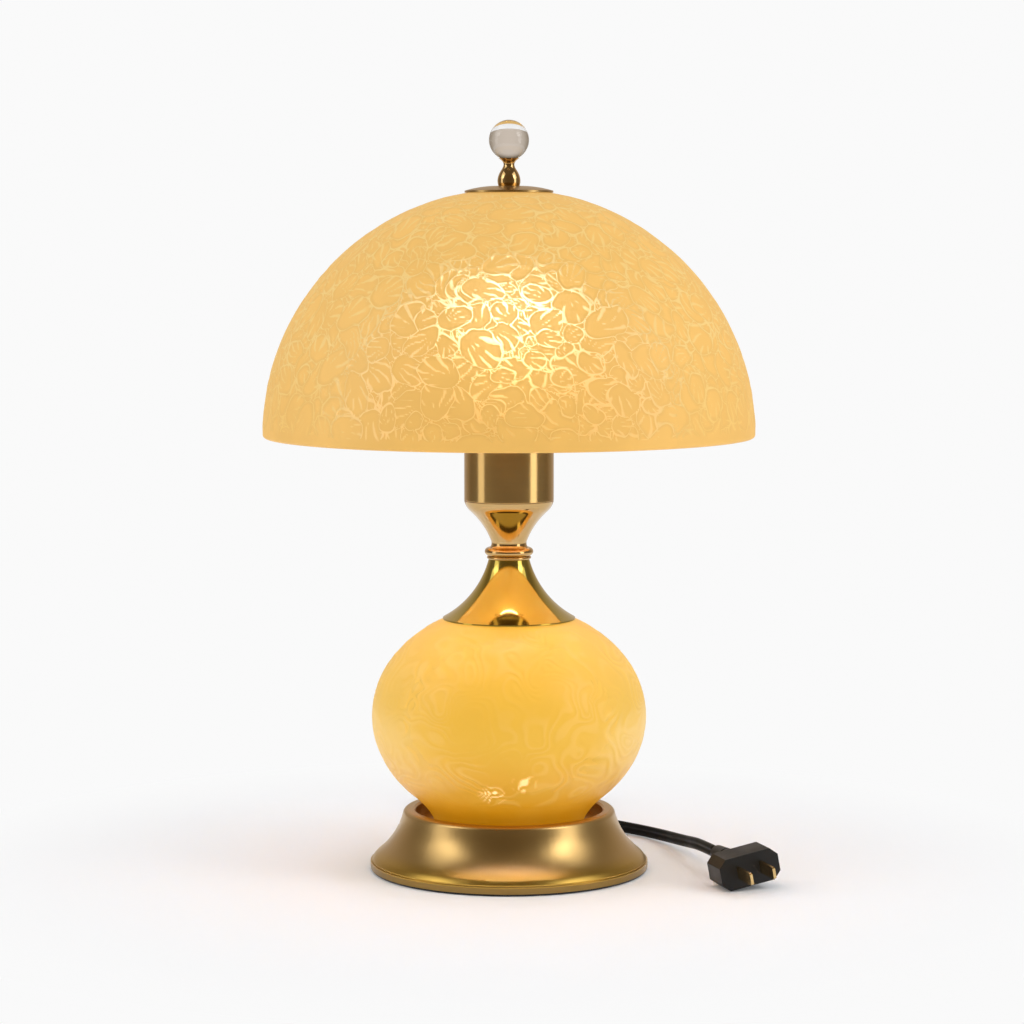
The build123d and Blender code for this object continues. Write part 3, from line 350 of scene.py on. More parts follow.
# Painted shade: cells darker towards their edges, in colour and glow, so that the petals look embossed
CELL_EDGE, CELL_MIDDLE = 0.5, 2.6
CELL_EDGE_SHADE = 0.955
VEIN_FOOT = colour(0.66, 0.41, 0.105)
VEIN_PALE = colour(0.645, 0.455, 0.165)
VEIN_PALE_Z = 0.285
VEIN_THIN, VEIN_WIDE = 0.22, 0.95
SWELL_LOW, SWELL_HIGH = 0.42, 0.72
VEIN_CORE = 0.35
VEIN_NEAR, VEIN_FAR = 1.0, 1.6
VEIN_GLOW = 0.94
STROKE_FAINT, STROKE_FULL = 0.40, 0.90
STROKE_SHARE = 0.85
FACING_CLEAR, FACING_DULL = 0.10, 0.38


def vein_share(graph, place, near):
    """Share of vein at a point: the rims of the petals, or the strokes inside them."""
    swell = graph.step(graph.noise(place, 70.0), SWELL_LOW, SWELL_HIGH, VEIN_THIN, VEIN_WIDE)
    from_rim = graph.math("DIVIDE", graph.math("ABSOLUTE", graph.attribute("rim")), swell)
    line = graph.step(from_rim, 1.0, VEIN_CORE)
    line = graph.math("MULTIPLY", line, graph.step(near, VEIN_FAR, VEIN_NEAR))
    stroke = graph.step(graph.attribute("stroke"), STROKE_FAINT, STROKE_FULL, 0.0, STROKE_SHARE)
    return graph.math("MAXIMUM", line, stroke)


def shade_outer_glass(name):
    """Frosted amber glass whose raised veins are clearer than the cells between them, with a painted glow."""
    made, graph, place = new_material(name)
    height = graph.split(place)[2]
    near = graph.attribute("near")
    vein = vein_share(graph, place, near)
    # Painted shade at the cells' edges
    middle = graph.step(near, CELL_EDGE, CELL_MIDDLE)
    cloud = graph.spread(graph.noise(place, 28.0, detail=3.0))
    amber = graph.mottle(cloud, SHADE_AMBER, dark=0.95, light=1.05)
    amber = graph.tint(middle, shaded(SHADE_AMBER, CELL_EDGE_SHADE), amber)
    pale = graph.tint(graph.step(height, SHADE_FOOT_Z, VEIN_PALE_Z), VEIN_FOOT, VEIN_PALE)
    # Painted glow of the bulb's light: brighter towards the top, dimmer at the cells' edges and on the veins
    rise = graph.step(height, SHADE_FOOT_Z, SHADE_TOP_Z)
    painted_glow = graph.math("MULTIPLY", graph.blend(rise, GLOW_FOOT, GLOW_TOP), graph.blend(middle, CELL_EDGE_SHADE, 1.0))
    facing = graph.add("ShaderNodeLayerWeight", {"Blend": 0.5}).outputs["Facing"]
    clear = graph.math("MULTIPLY", vein, graph.step(facing, FACING_DULL, FACING_CLEAR))
    frost = graph.noise(place, 1400.0, roughness=0.6)
    finish_material(
        graph,
        {
            "Base Color": graph.tint(vein, amber, pale),
            "Roughness": graph.blend(vein, 0.50, 0.62),
            "Transmission Weight": graph.blend(clear, 0.05, 0.64),
            "IOR": SHADE_IOR,
            "Specular IOR Level": 0.25,
            "Emission Color": PAINTED_SHADE_GLOW,
            "Emission Strength": graph.math("MULTIPLY", painted_glow, graph.blend(vein, 1.0, VEIN_GLOW)),
            "Normal": graph.bump(frost, strength=0.05),
        },
    )
    return made


def shade_inner_glass(name):
    """Inside of the shade: smoother, so that light gets through it, with a faint painted amber glow."""
    made, graph, place = new_material(name)
    cloud = graph.noise(place, 60.0, detail=3.0)
    finish_material(
        graph,
        {
            "Base Color": graph.tint(cloud, colour(0.79, 0.64, 0.37), colour(0.83, 0.68, 0.41)),
            "Roughness": graph.spread(cloud, 0.50, 0.58),
            "Transmission Weight": 0.9,
            "IOR": SHADE_IOR,
            # Painted glow of the bulb's light on the inside
            "Emission Color": colour(1.0, 0.70, 0.10),
            "Emission Strength": 0.18,
        },
    )
    return made


# Glass of the globe: deeper in colour at its foot, with pale swirls, a painted glow that is stronger towards
# the foot, and a few painted glints
GLOBE_TOP = colour(0.70, 0.42, 0.045)
GLOBE_LOW = colour(0.58, 0.25, 0.003)
GLOBE_LOW_Z, GLOBE_HIGH_Z = 0.030, 0.080
GLOBE_CLOUD = colour(0.76, 0.48, 0.085)
GLOBE_SWIRL = colour(0.78, 0.51, 0.13)
# Colour of the painted glints
GLOBE_GLINT = colour(1.0, 0.86, 0.50)
CLOUD_SHARE = 0.22
SWIRL_SHARE = 0.42


def globe_glass(name):
    """Amber glass with swirls, deeper in colour at its foot, with a painted glow and painted glints."""
    made, graph, place = new_material(name)
    rise = graph.step(graph.split(place)[2], GLOBE_LOW_Z, GLOBE_HIGH_Z)
    body = graph.tint(rise, GLOBE_LOW, GLOBE_TOP)
    cloud = graph.noise(place, 30.0, detail=4.0, roughness=0.55, distortion=1.2)
    clouded = graph.tint(graph.step(cloud, 0.35, 0.7, 0.0, CLOUD_SHARE), body, GLOBE_CLOUD)
    swirl = graph.step(graph.attribute("swirl"), 0.3, 1.0, 0.0, SWIRL_SHARE)
    glint = graph.attribute("glint")
    finish_material(
        graph,
        {
            "Base Color": graph.tint(swirl, clouded, GLOBE_SWIRL),
            "Roughness": graph.spread(cloud, 0.36, 0.44),
            "Transmission Weight": 0.15,
            "IOR": 1.33,
            # Painted glow, stronger towards the foot, and painted glints of light in the glass
            "Emission Color": graph.tint(glint, body, GLOBE_GLINT),
            "Emission Strength": graph.blend(glint, graph.blend(rise, 0.42, 0.31), 0.90),
        },
    )
    return made


def clear_glass(name):
    """Clear glass with faint ripples."""
    made, graph, place = new_material(name)
    ripple = graph.noise(place, 120.0, detail=1.0, roughness=0.4)
    finish_material(
        graph,
        {
            "Base Color": colour(0.97, 0.97, 0.97),
            "Roughness": graph.step(ripple, 0.3, 0.8, 0.0, 0.03),
            "Transmission Weight": 1.0,
            "IOR": 1.47,
            "Normal": graph.bump(ripple, strength=0.02, distance=0.0005),
        },
    )
    return made


# Bulb: lit, warmer and dimmer at its neck
BULB_LIGHT = colour(0.74, 0.84, 1.42)
BULB_WARM = colour(1.0, 0.74, 0.40)
BULB_STRENGTH = 14.5
BULB_UNEVEN = 0.04
BULB_NECK_SHARE = 0.2
BULB_NECK_Z, BULB_WIDE_Z = 0.262, 0.303


def bulb_glass(name):
    """Opal glass of a bulb that is lit."""
    made, graph, place = new_material(name)
    cloud = graph.noise(place, 45.0)
    up = graph.step(graph.split(place)[2], BULB_NECK_Z, BULB_WIDE_Z)
    weak, strong = BULB_STRENGTH * (1 - BULB_UNEVEN), BULB_STRENGTH * (1 + BULB_UNEVEN)
    strength = graph.step(cloud, 0.2, 0.8, weak, strong)
    finish_material(
        graph,
        {
            "Base Color": colour(0.95, 0.92, 0.86),
            "Roughness": graph.spread(cloud, 0.28, 0.36),
            "Emission Color": graph.tint(up, BULB_WARM, BULB_LIGHT),
            "Emission Strength": graph.math("MULTIPLY", graph.blend(up, BULB_NECK_SHARE, 1.0), strength),
        },
    )
    return made


def filament_wire(name):
    """Tungsten wire that glows."""
    made, graph, place = new_material(name)
    coils = graph.noise(place, 2400.0, detail=1.0)
    finish_material(
        graph,
        {
            "Base Color": colour(0.5, 0.45, 0.4),
            "Metallic": 1.0,
            "Roughness": 0.4,
            "Emission Color": colour(1.0, 0.7, 0.35),
            "Emission Strength": 6.0,
            "Normal": graph.bump(coils, strength=0.3),
        },
    )
    return made


# Looks of the frame's slots, and of the one node that has its own
POLISH = {"rough": 0.09, "line_pitch": 0.0015, "line_depth": 0.004, "patina": 0.04}
STEEL = colour(0.52, 0.52, 0.53)
CAP_METAL = colour(0.60, 0.58, 0.54)
IRON = colour(0.09, 0.09, 0.095)
BLACK_PLASTIC = colour(0.009, 0.008, 0.007)
BLACK_RUBBER = colour(0.014, 0.013, 0.013)
BLACK_CORD = colour(0.004, 0.0035, 0.003)
BLACK_FELT = colour(0.02, 0.02, 0.02)
BLACK_BAND = colour(0.010, 0.010, 0.011)
looks = {
    "brass_satin": turned_metal("satin_brass", BRASS, 0.29, line_pitch=0.012, patina=0.05, foot_shade=0.8),
    "brass_polished": turned_metal("polished_brass", BRASS_BRIGHT, **POLISH),
    "brass_brushed": turned_metal(
        "brushed_brass", BRASS, 0.20, line_pitch=0.0011, line_depth=0.03, patina=0.06, brushed=0.6
    ),
    "brass_plain": turned_metal("plain_brass", BRASS_PLAIN, 0.22, line_pitch=0.0008, line_depth=0.06),
    "plated_steel": rough_metal("plated_steel", STEEL, 0.32, grain=0.0006, depth=0.12),
    "bulb_metal": rough_metal("bulb_cap_metal", CAP_METAL, 0.28, grain=0.0005, depth=0.08),
    "iron": rough_metal("cast_iron", IRON, 0.62, grain=0.0009, depth=0.5),
    "black_plastic": moulded("black_plastic", BLACK_PLASTIC, 0.45, grain=0.0004, depth=0.12, specular=0.32),
    "black_rubber": moulded("black_rubber", BLACK_RUBBER, 0.62, grain=0.0003, depth=0.2, specular=0.35),
    "black_cord": moulded("black_cord", BLACK_CORD, 0.42, grain=0.0005, depth=0.08, specular=0.14),
    "felt": felt_cloth("black_felt", BLACK_FELT),
    "black_fabric": woven_band("tie_fabric", BLACK_BAND),
    "amber_shade_glass": shade_inner_glass("shade_inner_glass"),
    "amber_globe_glass": globe_glass("globe_glass"),
    "clear_glass": clear_glass("clear_glass"),
    "bulb_glass": bulb_glass("bulb_glass"),
    "filament": filament_wire("filament"),
}
own_looks = {"skirt": turned_metal("lacquered_brass", BRASS_LACQUERED, **POLISH)}
for name, node in nodes.items():
    slot_name = node.data.materials[0].name
    node.data.materials[0] = own_looks.get(name) or looks[slot_name]
shade_outer = shade_outer_glass("shade_outer_glass")

# Cord: the source's route, in millimetres, as the control points of one smooth line
FOOT_RADIUS = 74.6
BUSHING_ANGLE = 70.0
BUSHING_REACH = 22.0
BUSHING_HEIGHT = 12.5
STRAIGHT_OUT = 20.5
COIL_Y = FOOT_RADIUS + 98.4
COIL_ENTRY_Y = COIL_Y - 26.6
COIL_RADIUS = 42.0
COIL_PITCH = 4.3
COIL_TURNS = 3
COIL_HIGH_Z, COIL_LOW_Z = 12.5, 5.1
COIL_LEAVE = 70.0
COIL_STEPS = 24
LEAVE_RUN = 33.6
ROUTE = [(67.6, 42.0, 4.3), (54.3, 39.3, 3.6), (39.8, 35.5, 3.9), (19.4, 29.0, 7.0)]
PLUG_BACK = Vector((FOOT_RADIUS + 44.9, -41.4, 10.9))
PLUG_HEADING = -72.0
RELIEF_LENGTH = 26.0
PLUG_RUN_IN = 26.0
TUCK = 2.0


def coil_points():
    """Three turns inwards on the upper layer, a half turn down, three turns outwards below."""
    middle = Vector((0, COIL_Y, 0))
    stretch = 1 / math.cos(math.pi / COIL_STEPS)
    inner = COIL_RADIUS - COIL_PITCH * COIL_TURNS
    first_drop = COIL_TURNS * 360
    last_drop = first_drop + 180
    leave = last_drop + COIL_TURNS * 360 + COIL_LEAVE
    made = []
    turn = 180 / COIL_STEPS
    while turn < leave:
        if turn < first_drop:
            reach = COIL_RADIUS - COIL_PITCH * turn / 360
        elif turn < last_drop:
            reach = inner
        else:
            reach = inner + COIL_PITCH * (turn - last_drop) / 360
        height = COIL_HIGH_Z + (COIL_LOW_Z - COIL_HIGH_Z) * smooth_step(first_drop, last_drop, turn)
        made.append(middle + flat(turn, reach * stretch, height))
        turn += 360 / COIL_STEPS
    return made


exit_reach = FOOT_RADIUS + BUSHING_REACH
plug_dir = flat(PLUG_HEADING, 1.0)
relief_start = PLUG_BACK - plug_dir * RELIEF_LENGTH
turns = coil_points()
leave_dir = (turns[-1] - turns[-2]).normalized()
cord_points = [
    flat(BUSHING_ANGLE, exit_reach - TUCK, BUSHING_HEIGHT),
    flat(BUSHING_ANGLE, exit_reach + STRAIGHT_OUT, BUSHING_HEIGHT),
    Vector((COIL_RADIUS, COIL_ENTRY_Y, COIL_HIGH_Z)),
]
cord_points += turns
cord_points.append(turns[-1] + leave_dir * LEAVE_RUN)
cord_points += [flat(angle, FOOT_RADIUS + standoff, height) for angle, standoff, height in ROUTE]
cord_points += [relief_start - plug_dir * PLUG_RUN_IN, relief_start + plug_dir * TUCK]


def smooth_line(name, points):
    """Points along a NURBS line that has these control points, in metres."""
    curve = bpy.data.curves.new(name, "CURVE")
    curve.dimensions = "3D"
    spline = curve.splines.new("NURBS")
    spline.points.add(len(points) - 1)
    for target, point in zip(spline.points, points):
        target.co = (*(point * MM), 1.0)
    spline.order_u = 3
    spline.use_endpoint_u = True
    spline.resolution_u = 6
    holder = add_object(name, curve)
    line = bpy.data.meshes.new_from_object(holder)
    made = [v.co.copy() for v in line.vertices]
    bpy.data.objects.remove(holder)
    bpy.data.curves.remove(curve)
    bpy.data.meshes.remove(line)
    return made


# Section of the flat cord on edge: two round cores, one above the other, with a groove between them
LOBE_RADIUS = 1.7
LOBE_REACH = 1.6
WAIST = 1.12
LOBE_ANGLES = [-40, -15, 10, 35, 60, 90, 120, 145, 170, 195, 220]


def cord_section():
    """Outline of the cord, across and up, in millimetres."""
    lobe = [flat(angle, LOBE_RADIUS) for angle in LOBE_ANGLES]
    upper = [(point.x, LOBE_REACH + point.y) for point in lobe]
    lower = [(-x, -y) for x, y in upper]
    return [(WAIST, 0.0)] + upper + [(-WAIST, 0.0)] + lower


def tube(name, path, section, material):
    """Mesh swept along a path, with its section kept upright."""
    points, faces = [], []
    count = len(section)
    for k, here in enumerate(path):
        ahead = path[min(k + 1, len(path) - 1)] - path[max(k - 1, 0)]
        across = Vector((ahead.y, -ahead.x, 0)).normalized()
        up = across.cross(ahead).normalized()
        points += [here + across * (x * MM) + up * (y * MM) for x, y in section]
    for k in range(len(path) - 1):
        for i in range(count):
            j = (i + 1) % count
            faces.append((k * count + i, k * count + j, (k + 1) * count + j, (k + 1) * count + i))
    faces.append(tuple(reversed(range(count))))
    last = (len(path) - 1) * count
    faces.append(tuple(range(last, last + count)))
    return mesh_object(name, points, faces, [material])


cord_path = smooth_line("cord_line", cord_points)
cord = tube("cord", cord_path, cord_section(), looks["black_cord"])
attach(cord, "lamp")
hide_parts("cord_to_coil", "cord_coil", "cord_to_plug")

# Tie: a woven band round the bundle of turns
TIE_NEAR_Y, TIE_FAR_Y = COIL_Y + 27.0, COIL_Y + 44.1
TIE_LOW_Z, TIE_HIGH_Z = 1.4, 16.2
TIE_THICK = 0.9
TIE_HALF_WIDTH = 3.0
TIE_EDGE = 0.25
TIE_CORNER = 2.6
TIE_CORNER_STEPS = 6


def tie_loop(grow):
    """Rounded outline of the band at a distance outside the bundle, in Y and Z."""
    made = []
    near_y, far_y = TIE_NEAR_Y + TIE_CORNER, TIE_FAR_Y - TIE_CORNER
    low_z, high_z = TIE_LOW_Z + TIE_CORNER, TIE_HIGH_Z - TIE_CORNER
    centres = [(far_y, high_z), (near_y, high_z), (near_y, low_z), (far_y, low_z)]
    for quarter, (y, z) in enumerate(centres):
        for k in range(TIE_CORNER_STEPS + 1):
            turn = math.radians(90 * quarter + 90 * k / TIE_CORNER_STEPS)
            corner = TIE_CORNER + grow
            made.append((y + corner * math.cos(turn), z + corner * math.sin(turn)))
    return made


def tie_band():
    """The band, with softly rounded edges."""
    half, flat_half = TIE_HALF_WIDTH, TIE_HALF_WIDTH - TIE_EDGE
    section = [
        (-half, TIE_EDGE),
        (-flat_half, 0.0),
        (flat_half, 0.0),
        (half, TIE_EDGE),
        (half, TIE_THICK - TIE_EDGE),
        (flat_half, TIE_THICK),
        (-flat_half, TIE_THICK),
        (-half, TIE_THICK - TIE_EDGE),
    ]
    loops = [(x, tie_loop(grow)) for x, grow in section]
    around = len(loops[0][1])
    points = [(x * MM, y * MM, z * MM) for x, loop in loops for y, z in loop]
    faces = []
    for s in range(len(section)):
        t = (s + 1) % len(section)
        for i in range(around):
            j = (i + 1) % around
            faces.append((s * around + i, t * around + i, t * around + j, s * around + j))
    return mesh_object("tie", points, faces, [looks["black_fabric"]])


tie = tie_band()
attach(tie, "lamp")
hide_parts("coil_tie")


# Helpers for blown glass, in millimetres
class Lattice:
    """Smooth noise from -1 to 1 over a grid of fixed random values."""

    SIZE = 48

    def __init__(self, seed):
        self.values = np.random.default_rng(seed).uniform(-1, 1, (self.SIZE,) * 3)

    def __call__(self, points):
        cell = np.floor(points).astype(int)
        part = smooth_step(0, 1, points - cell)
        total = np.zeros(len(points))
        for corner in np.ndindex(2, 2, 2):
            weight = np.ones(len(points))
            for axis in range(3):
                weight = weight * (part[:, axis] if corner[axis] else 1 - part[:, axis])
            at = (cell + np.array(corner)) % self.SIZE
            total += weight * self.values[at[:, 0], at[:, 1], at[:, 2]]
        return total


def drift(points, seed):
    """Smooth noise in three directions, from three seeds in a row."""
    return np.stack([Lattice(seed + axis)(points) for axis in range(3)], 1)


def units(vectors):
    """Vectors at length one."""
    return vectors / np.linalg.norm(vectors, axis=1)[:, None]


def arc_rings(angles, wide, tall, middle_z, count_at):
    """Rings (radius, height, count) at angles, in radians, up or down from the middle of a round body."""
    return [(wide * math.cos(turn), middle_z + tall * math.sin(turn), count_at(turn)) for turn in angles]


def ring_points(rings):
    """Number of points in some rings."""
    return sum(count for _, _, count in rings)


def band_faces(a, n, b, m):
    """Faces between a ring of n points from a on and one of m from b on: as many, half or twice as many."""
    faces = []
    for i in range(min(n, m)):
        j = (i + 1) % min(n, m)
        if n == m:
            faces.append((a + i, a + j, b + j, b + i))
        elif n > m:
            first, middle, last = a + 2 * i, a + 2 * i + 1, a + (2 * i + 2) % n
            faces.append((first, middle, b + i))
            faces.append((middle, last, b + j, b + i))
        else:
            first, middle, last = b + 2 * i, b + 2 * i + 1, b + (2 * i + 2) % m
            faces.append((a + i, middle, first))
            faces.append((a + i, a + j, last, middle))
    return faces


def ring_surface(rings):
    """Points and faces of a surface through rings (radius, height, count), each beside the one before."""
    points, faces = [], []
    start, before = 0, 0
    for radius, height, count in rings:
        turn = np.arange(count) * (2 * math.pi / count)
        points.append(np.stack([radius * np.cos(turn), radius * np.sin(turn), np.full(count, height)], 1))
        if before:
            faces += band_faces(start - before, before, start, count)
        start += count
        before = count
    return np.concatenate(points), faces


# Shade: the source's dome, with petals in low relief
SHADE_RADIUS = 130.8
SHADE_WALL = 3.2
SHADE_CUT = 1.4
SHADE_HOLE = 6.0
SHADE_CENTRE_Z = 232.83
OUTER_RINGS, INNER_RINGS, LIP_STEPS = 200, 80, 8
DENSE, MEDIUM, SPARSE = 800, 400, 200
DENSE_BELOW, MEDIUM_BELOW, INNER_MEDIUM_BELOW = math.radians(60), math.radians(77), math.radians(70)
# Petals: how they are spread, and the strokes that fan out in each
PETAL_SIZE = 12.0
PETAL_SEED = 7
PETAL_ROOM = 0.55
PETAL_JITTER = 0.4
PETAL_SIZES = (0.38, 0.88)
PETAL_ASPECTS = (1.0, 1.35)
FAN_COUNTS = (10, 17)
FAN_BASE = 0.8
FAN_CURL = 2.5
FAN_START = (0.25, 0.6)
FAN_GAPS = (-0.8, -0.1)
GAP_SEED, GAP_SIZE = 31, 4.5
COARSE_SEED, COARSE_SIZE, COARSE_DRIFT = 20, 10.0, 2.2
FINE_SEED, FINE_SIZE, FINE_DRIFT = 26, 3.6, 0.8
PATTERN_BATCH = 8000
# Relief: height of veins and strokes, and where it fades out under the cap and above the lip
RIM_HEIGHT, RIM_SPREAD = 0.20, 0.95
STROKE_HEIGHT = 0.06
CAP_FADE = (26, 34)
LIP_FADE = (1.5, 7)
FAR_OFF = 9.0
FADE_OFF = 5


class Petals:
    """Overlapping petals all over the dome: their directions, half sizes and fans of strokes."""

    def __init__(self, seed):
        rng = np.random.default_rng(seed)
        count = int(2 * math.pi * SHADE_RADIUS**2 / (PETAL_ROOM * PETAL_SIZE**2))
        index = np.arange(count) + 0.5
        rise = index / count
        spin = index * math.pi * (1 + math.sqrt(5))
        level = np.sqrt(1 - rise**2)
        middles = np.stack([level * np.cos(spin), level * np.sin(spin), rise], 1) * SHADE_RADIUS
        middles += rng.uniform(-PETAL_JITTER, PETAL_JITTER, middles.shape) * PETAL_SIZE
        self.order = np.arange(count)
        self.ups = units(middles)[rng.permutation(count)]
        self.sizes = PETAL_SIZE * rng.uniform(*PETAL_SIZES, count)
        aspect = rng.uniform(*PETAL_ASPECTS, count)
        heading = rng.uniform(0, 2 * math.pi, count)
        self.fans = rng.integers(*FAN_COUNTS, count)
        self.phases = rng.uniform(0, 2 * math.pi, count)
        east = units(np.stack([-self.ups[:, 1], self.ups[:, 0], np.zeros(count)], 1))
        north = np.cross(self.ups, east)
        self.along = east * np.cos(heading)[:, None] + north * np.sin(heading)[:, None]
        self.aside = np.cross(self.ups, self.along)
        self.long_half = self.sizes * aspect
        self.short_half = self.sizes / aspect

    def pattern(self, points, gaps):
        """Signed distance to the nearest rim that shows, and strength of the strokes, from 0 to 1."""
        ahead = points @ self.along.T
        beside = points @ self.aside.T
        lift = points @ self.ups.T - SHADE_RADIUS
        reach = (ahead / self.long_half) ** 2 + (beside / self.short_half) ** 2 + (lift / self.sizes) ** 2
        depth = self.sizes * (1 - np.sqrt(reach))
        own = np.where(depth > 0, self.order, -1).max(axis=1)
        own = np.where(own < 0, depth.argmax(axis=1), own)
        nearest = np.where(self.order >= own[:, None], np.abs(depth), np.inf).argmin(axis=1)
        row = np.arange(len(points))
        from_base = ahead[row, own] / self.long_half[own] + FAN_BASE
        turn = np.arctan2(beside[row, own] / self.short_half[own], from_base)
        phase = self.phases[own]
        wave = np.cos(self.fans[own] * turn + phase + FAN_CURL * from_base * np.sin(phase))
        shown = smooth_step(*FAN_START, from_base) * smooth_step(*FAN_GAPS, gaps)
        return depth[row, nearest], np.clip(wave, 0, 1) * shown


def petal_pattern(points):
    """Signed distance to the nearest rim that shows, and strokes, for points from the shade's centre."""
    petals = Petals(PETAL_SEED)
    moved = points + COARSE_DRIFT * drift(points / COARSE_SIZE, COARSE_SEED)
    moved += FINE_DRIFT * drift(points / FINE_SIZE, FINE_SEED)
    gaps = Lattice(GAP_SEED)(points / GAP_SIZE)
    rims, strokes = np.zeros(len(points)), np.zeros(len(points))
    for low in range(0, len(points), PATTERN_BATCH):
        batch = slice(low, low + PATTERN_BATCH)
        rims[batch], strokes[batch] = petals.pattern(moved[batch], gaps[batch])
    return rims, strokes


def outer_count(turn):
    """Points in a ring of the shade's outside: fewer towards the top."""
    if turn < DENSE_BELOW:
        return DENSE
    return MEDIUM if turn < MEDIUM_BELOW else SPARSE


def inner_count(turn):
    """Points in a ring of the shade's inside."""
    return MEDIUM if turn < INNER_MEDIUM_BELOW else SPARSE


def lip_count(turn):
    """Points in a ring of the lip, from the outside (0) down and round to the inside (minus pi)."""
    return DENSE if turn > -math.pi / 2 else MEDIUM


def shade_rings():
    """Rings of the shade's outside, from the hole down, of its lip, and of its inside, upwards."""
    inner = SHADE_RADIUS - SHADE_WALL
    half_wall = SHADE_WALL / 2
    high, low = math.acos(SHADE_HOLE / SHADE_RADIUS), math.asin(SHADE_CUT / SHADE_RADIUS)
    inner_high, inner_low = math.acos(SHADE_HOLE / inner), math.asin(SHADE_CUT / inner)
    down = np.linspace(high, low, OUTER_RINGS)
    outside = arc_rings(down, SHADE_RADIUS, SHADE_RADIUS, SHADE_CENTRE_Z, outer_count)
    under = [-math.pi * k / LIP_STEPS for k in range(1, LIP_STEPS)]
    curl = arc_rings(under, half_wall, half_wall, SHADE_CENTRE_Z + SHADE_CUT, lip_count)
    lip = [(SHADE_RADIUS - half_wall + across, z, count) for across, z, count in curl]
    up = np.linspace(inner_low, inner_high, INNER_RINGS)
    inside = arc_rings(up, inner, inner, SHADE_CENTRE_Z, inner_count)
    return outside, lip, inside


def build_shade():
    """The dome: a dense outside with its relief, a rounded lip and a plain inside."""
    outside, lip, inside = shade_rings()
    points, faces = ring_surface(outside + lip + inside + outside[:1])
    outer = ring_points(outside)
    first_inside = ring_points(outside + lip)
    from_centre = points[:outer] - np.array([0, 0, SHADE_CENTRE_Z])
    rim, near, stroke = np.full(len(points), FAR_OFF), np.full(len(points), FAR_OFF), np.zeros(len(points))
    rim[:outer], stroke[:outer] = petal_pattern(from_centre)
    near[:outer] = np.abs(rim[:outer])
    from_axis = np.hypot(from_centre[:, 0], from_centre[:, 1])
    fade = smooth_step(*CAP_FADE, from_axis) * smooth_step(*LIP_FADE, from_centre[:, 2])
    relief = RIM_HEIGHT * np.exp(-((near[:outer] / RIM_SPREAD) ** 2)) + STROKE_HEIGHT * stroke[:outer]
    points[:outer] += from_centre / SHADE_RADIUS * (relief * fade)[:, None]
    near[:outer] += FADE_OFF * (1 - fade)
    stroke[:outer] *= fade
    is_inside = [int(min(face) >= first_inside) for face in faces]
    materials = [shade_outer, looks["amber_shade_glass"]]
    made = mesh_object("shade_glass", points * MM, faces, materials, is_inside)
    put_attribute(made.data, "rim", rim)
    put_attribute(made.data, "near", near)
    put_attribute(made.data, "stroke", stroke)
    return made


shade_piece = build_shade()
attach(shade_piece, "shade")
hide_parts("shade")

# Globe: the source's outline, with its collar run in smoothly
GLOBE_RADIUS = 73.5
GLOBE_HALF = 59.4
GLOBE_WALL = 3.0
GLOBE_Z = 82.73
GLOBE_COLLAR = 40.2
GLOBE_COLLAR_Z = 33.0
GLOBE_FOOT_Z = 26.5
GLOBE_FLAT = 17.0
GLOBE_HOLE = 9.0
GLOBE_SMOOTH = 51.0
GLOBE_TUCK = 2.6
GLOBE_COUNT = 480
GLOBE_RINGS, GLOBE_COLLAR_STEPS, GLOBE_INNER_RINGS = 190, 13, 60
# Swirls: contours of a slow noise, in patches, which fade out under the skirt and above the collar
SWIRL_SEED, SWIRL_SIZE = 60, 19.0
SWIRL_DRIFT_SEED, SWIRL_DRIFT_SIZE, SWIRL_DRIFT = 50, 13.0, 0.5
SWIRL_BANDS = 3.6
SWIRL_HEIGHT = 0.24
PATCH_SEED, PATCH_SIZE = 61, 21.0
PATCH_EDGE = (-0.55, 0.45)
PATCH_LEAST = 0.35
SKIRT_FADE = (37, 44)
COLLAR_FADE = (51, 57)
# Painted glints, each at an angle, a height and a size, with its share of the light, and the curls inside
# them
GLINTS = [(-98, 50, 9.0, 1.0), (-83, 57, 8.0, 0.8)]
GLINT_CORE = 0.4
CURL_SEED, CURL_SIZE, CURL_BANDS = 63, 8.0, 2.4
RIPPLE_SEED, RIPPLE_SIZE, RIPPLE_BANDS = 64, 3.5, 0.5
CURL_EDGE = (0.35, 0.95)


def globe_count(_):
    """Points in each ring of the globe."""
    return GLOBE_COUNT


def globe_swirl(points):
    """Strength of the swirls, from 0 to 1, for points from the globe's middle."""
    moved = points / SWIRL_SIZE + SWIRL_DRIFT * drift(points / SWIRL_DRIFT_SIZE, SWIRL_DRIFT_SEED)
    bands = 0.5 + 0.5 * np.cos(2 * math.pi * SWIRL_BANDS * Lattice(SWIRL_SEED)(moved))
    patch = smooth_step(*PATCH_EDGE, Lattice(PATCH_SEED)(points / PATCH_SIZE))
    return bands * (PATCH_LEAST + (1 - PATCH_LEAST) * patch)


def globe_glint(points):
    """Share of the glints, from 0 to 1, for points from the globe's middle."""
    ripple = RIPPLE_BANDS * Lattice(RIPPLE_SEED)(points / RIPPLE_SIZE)
    bands = CURL_BANDS * Lattice(CURL_SEED)(points / CURL_SIZE) + ripple
    curls = smooth_step(*CURL_EDGE, np.cos(2 * math.pi * bands))
    made = np.zeros(len(points))
    for angle, height, size, share in GLINTS:
        z = height - GLOBE_Z
        reach = GLOBE_RADIUS * math.sqrt(1 - (z / GLOBE_HALF) ** 2)
        apart = np.linalg.norm(points - np.array(flat(angle, reach, z)), axis=1)
        made = np.maximum(made, share * smooth_step(size, size * GLINT_CORE, apart) * curls)
    return made


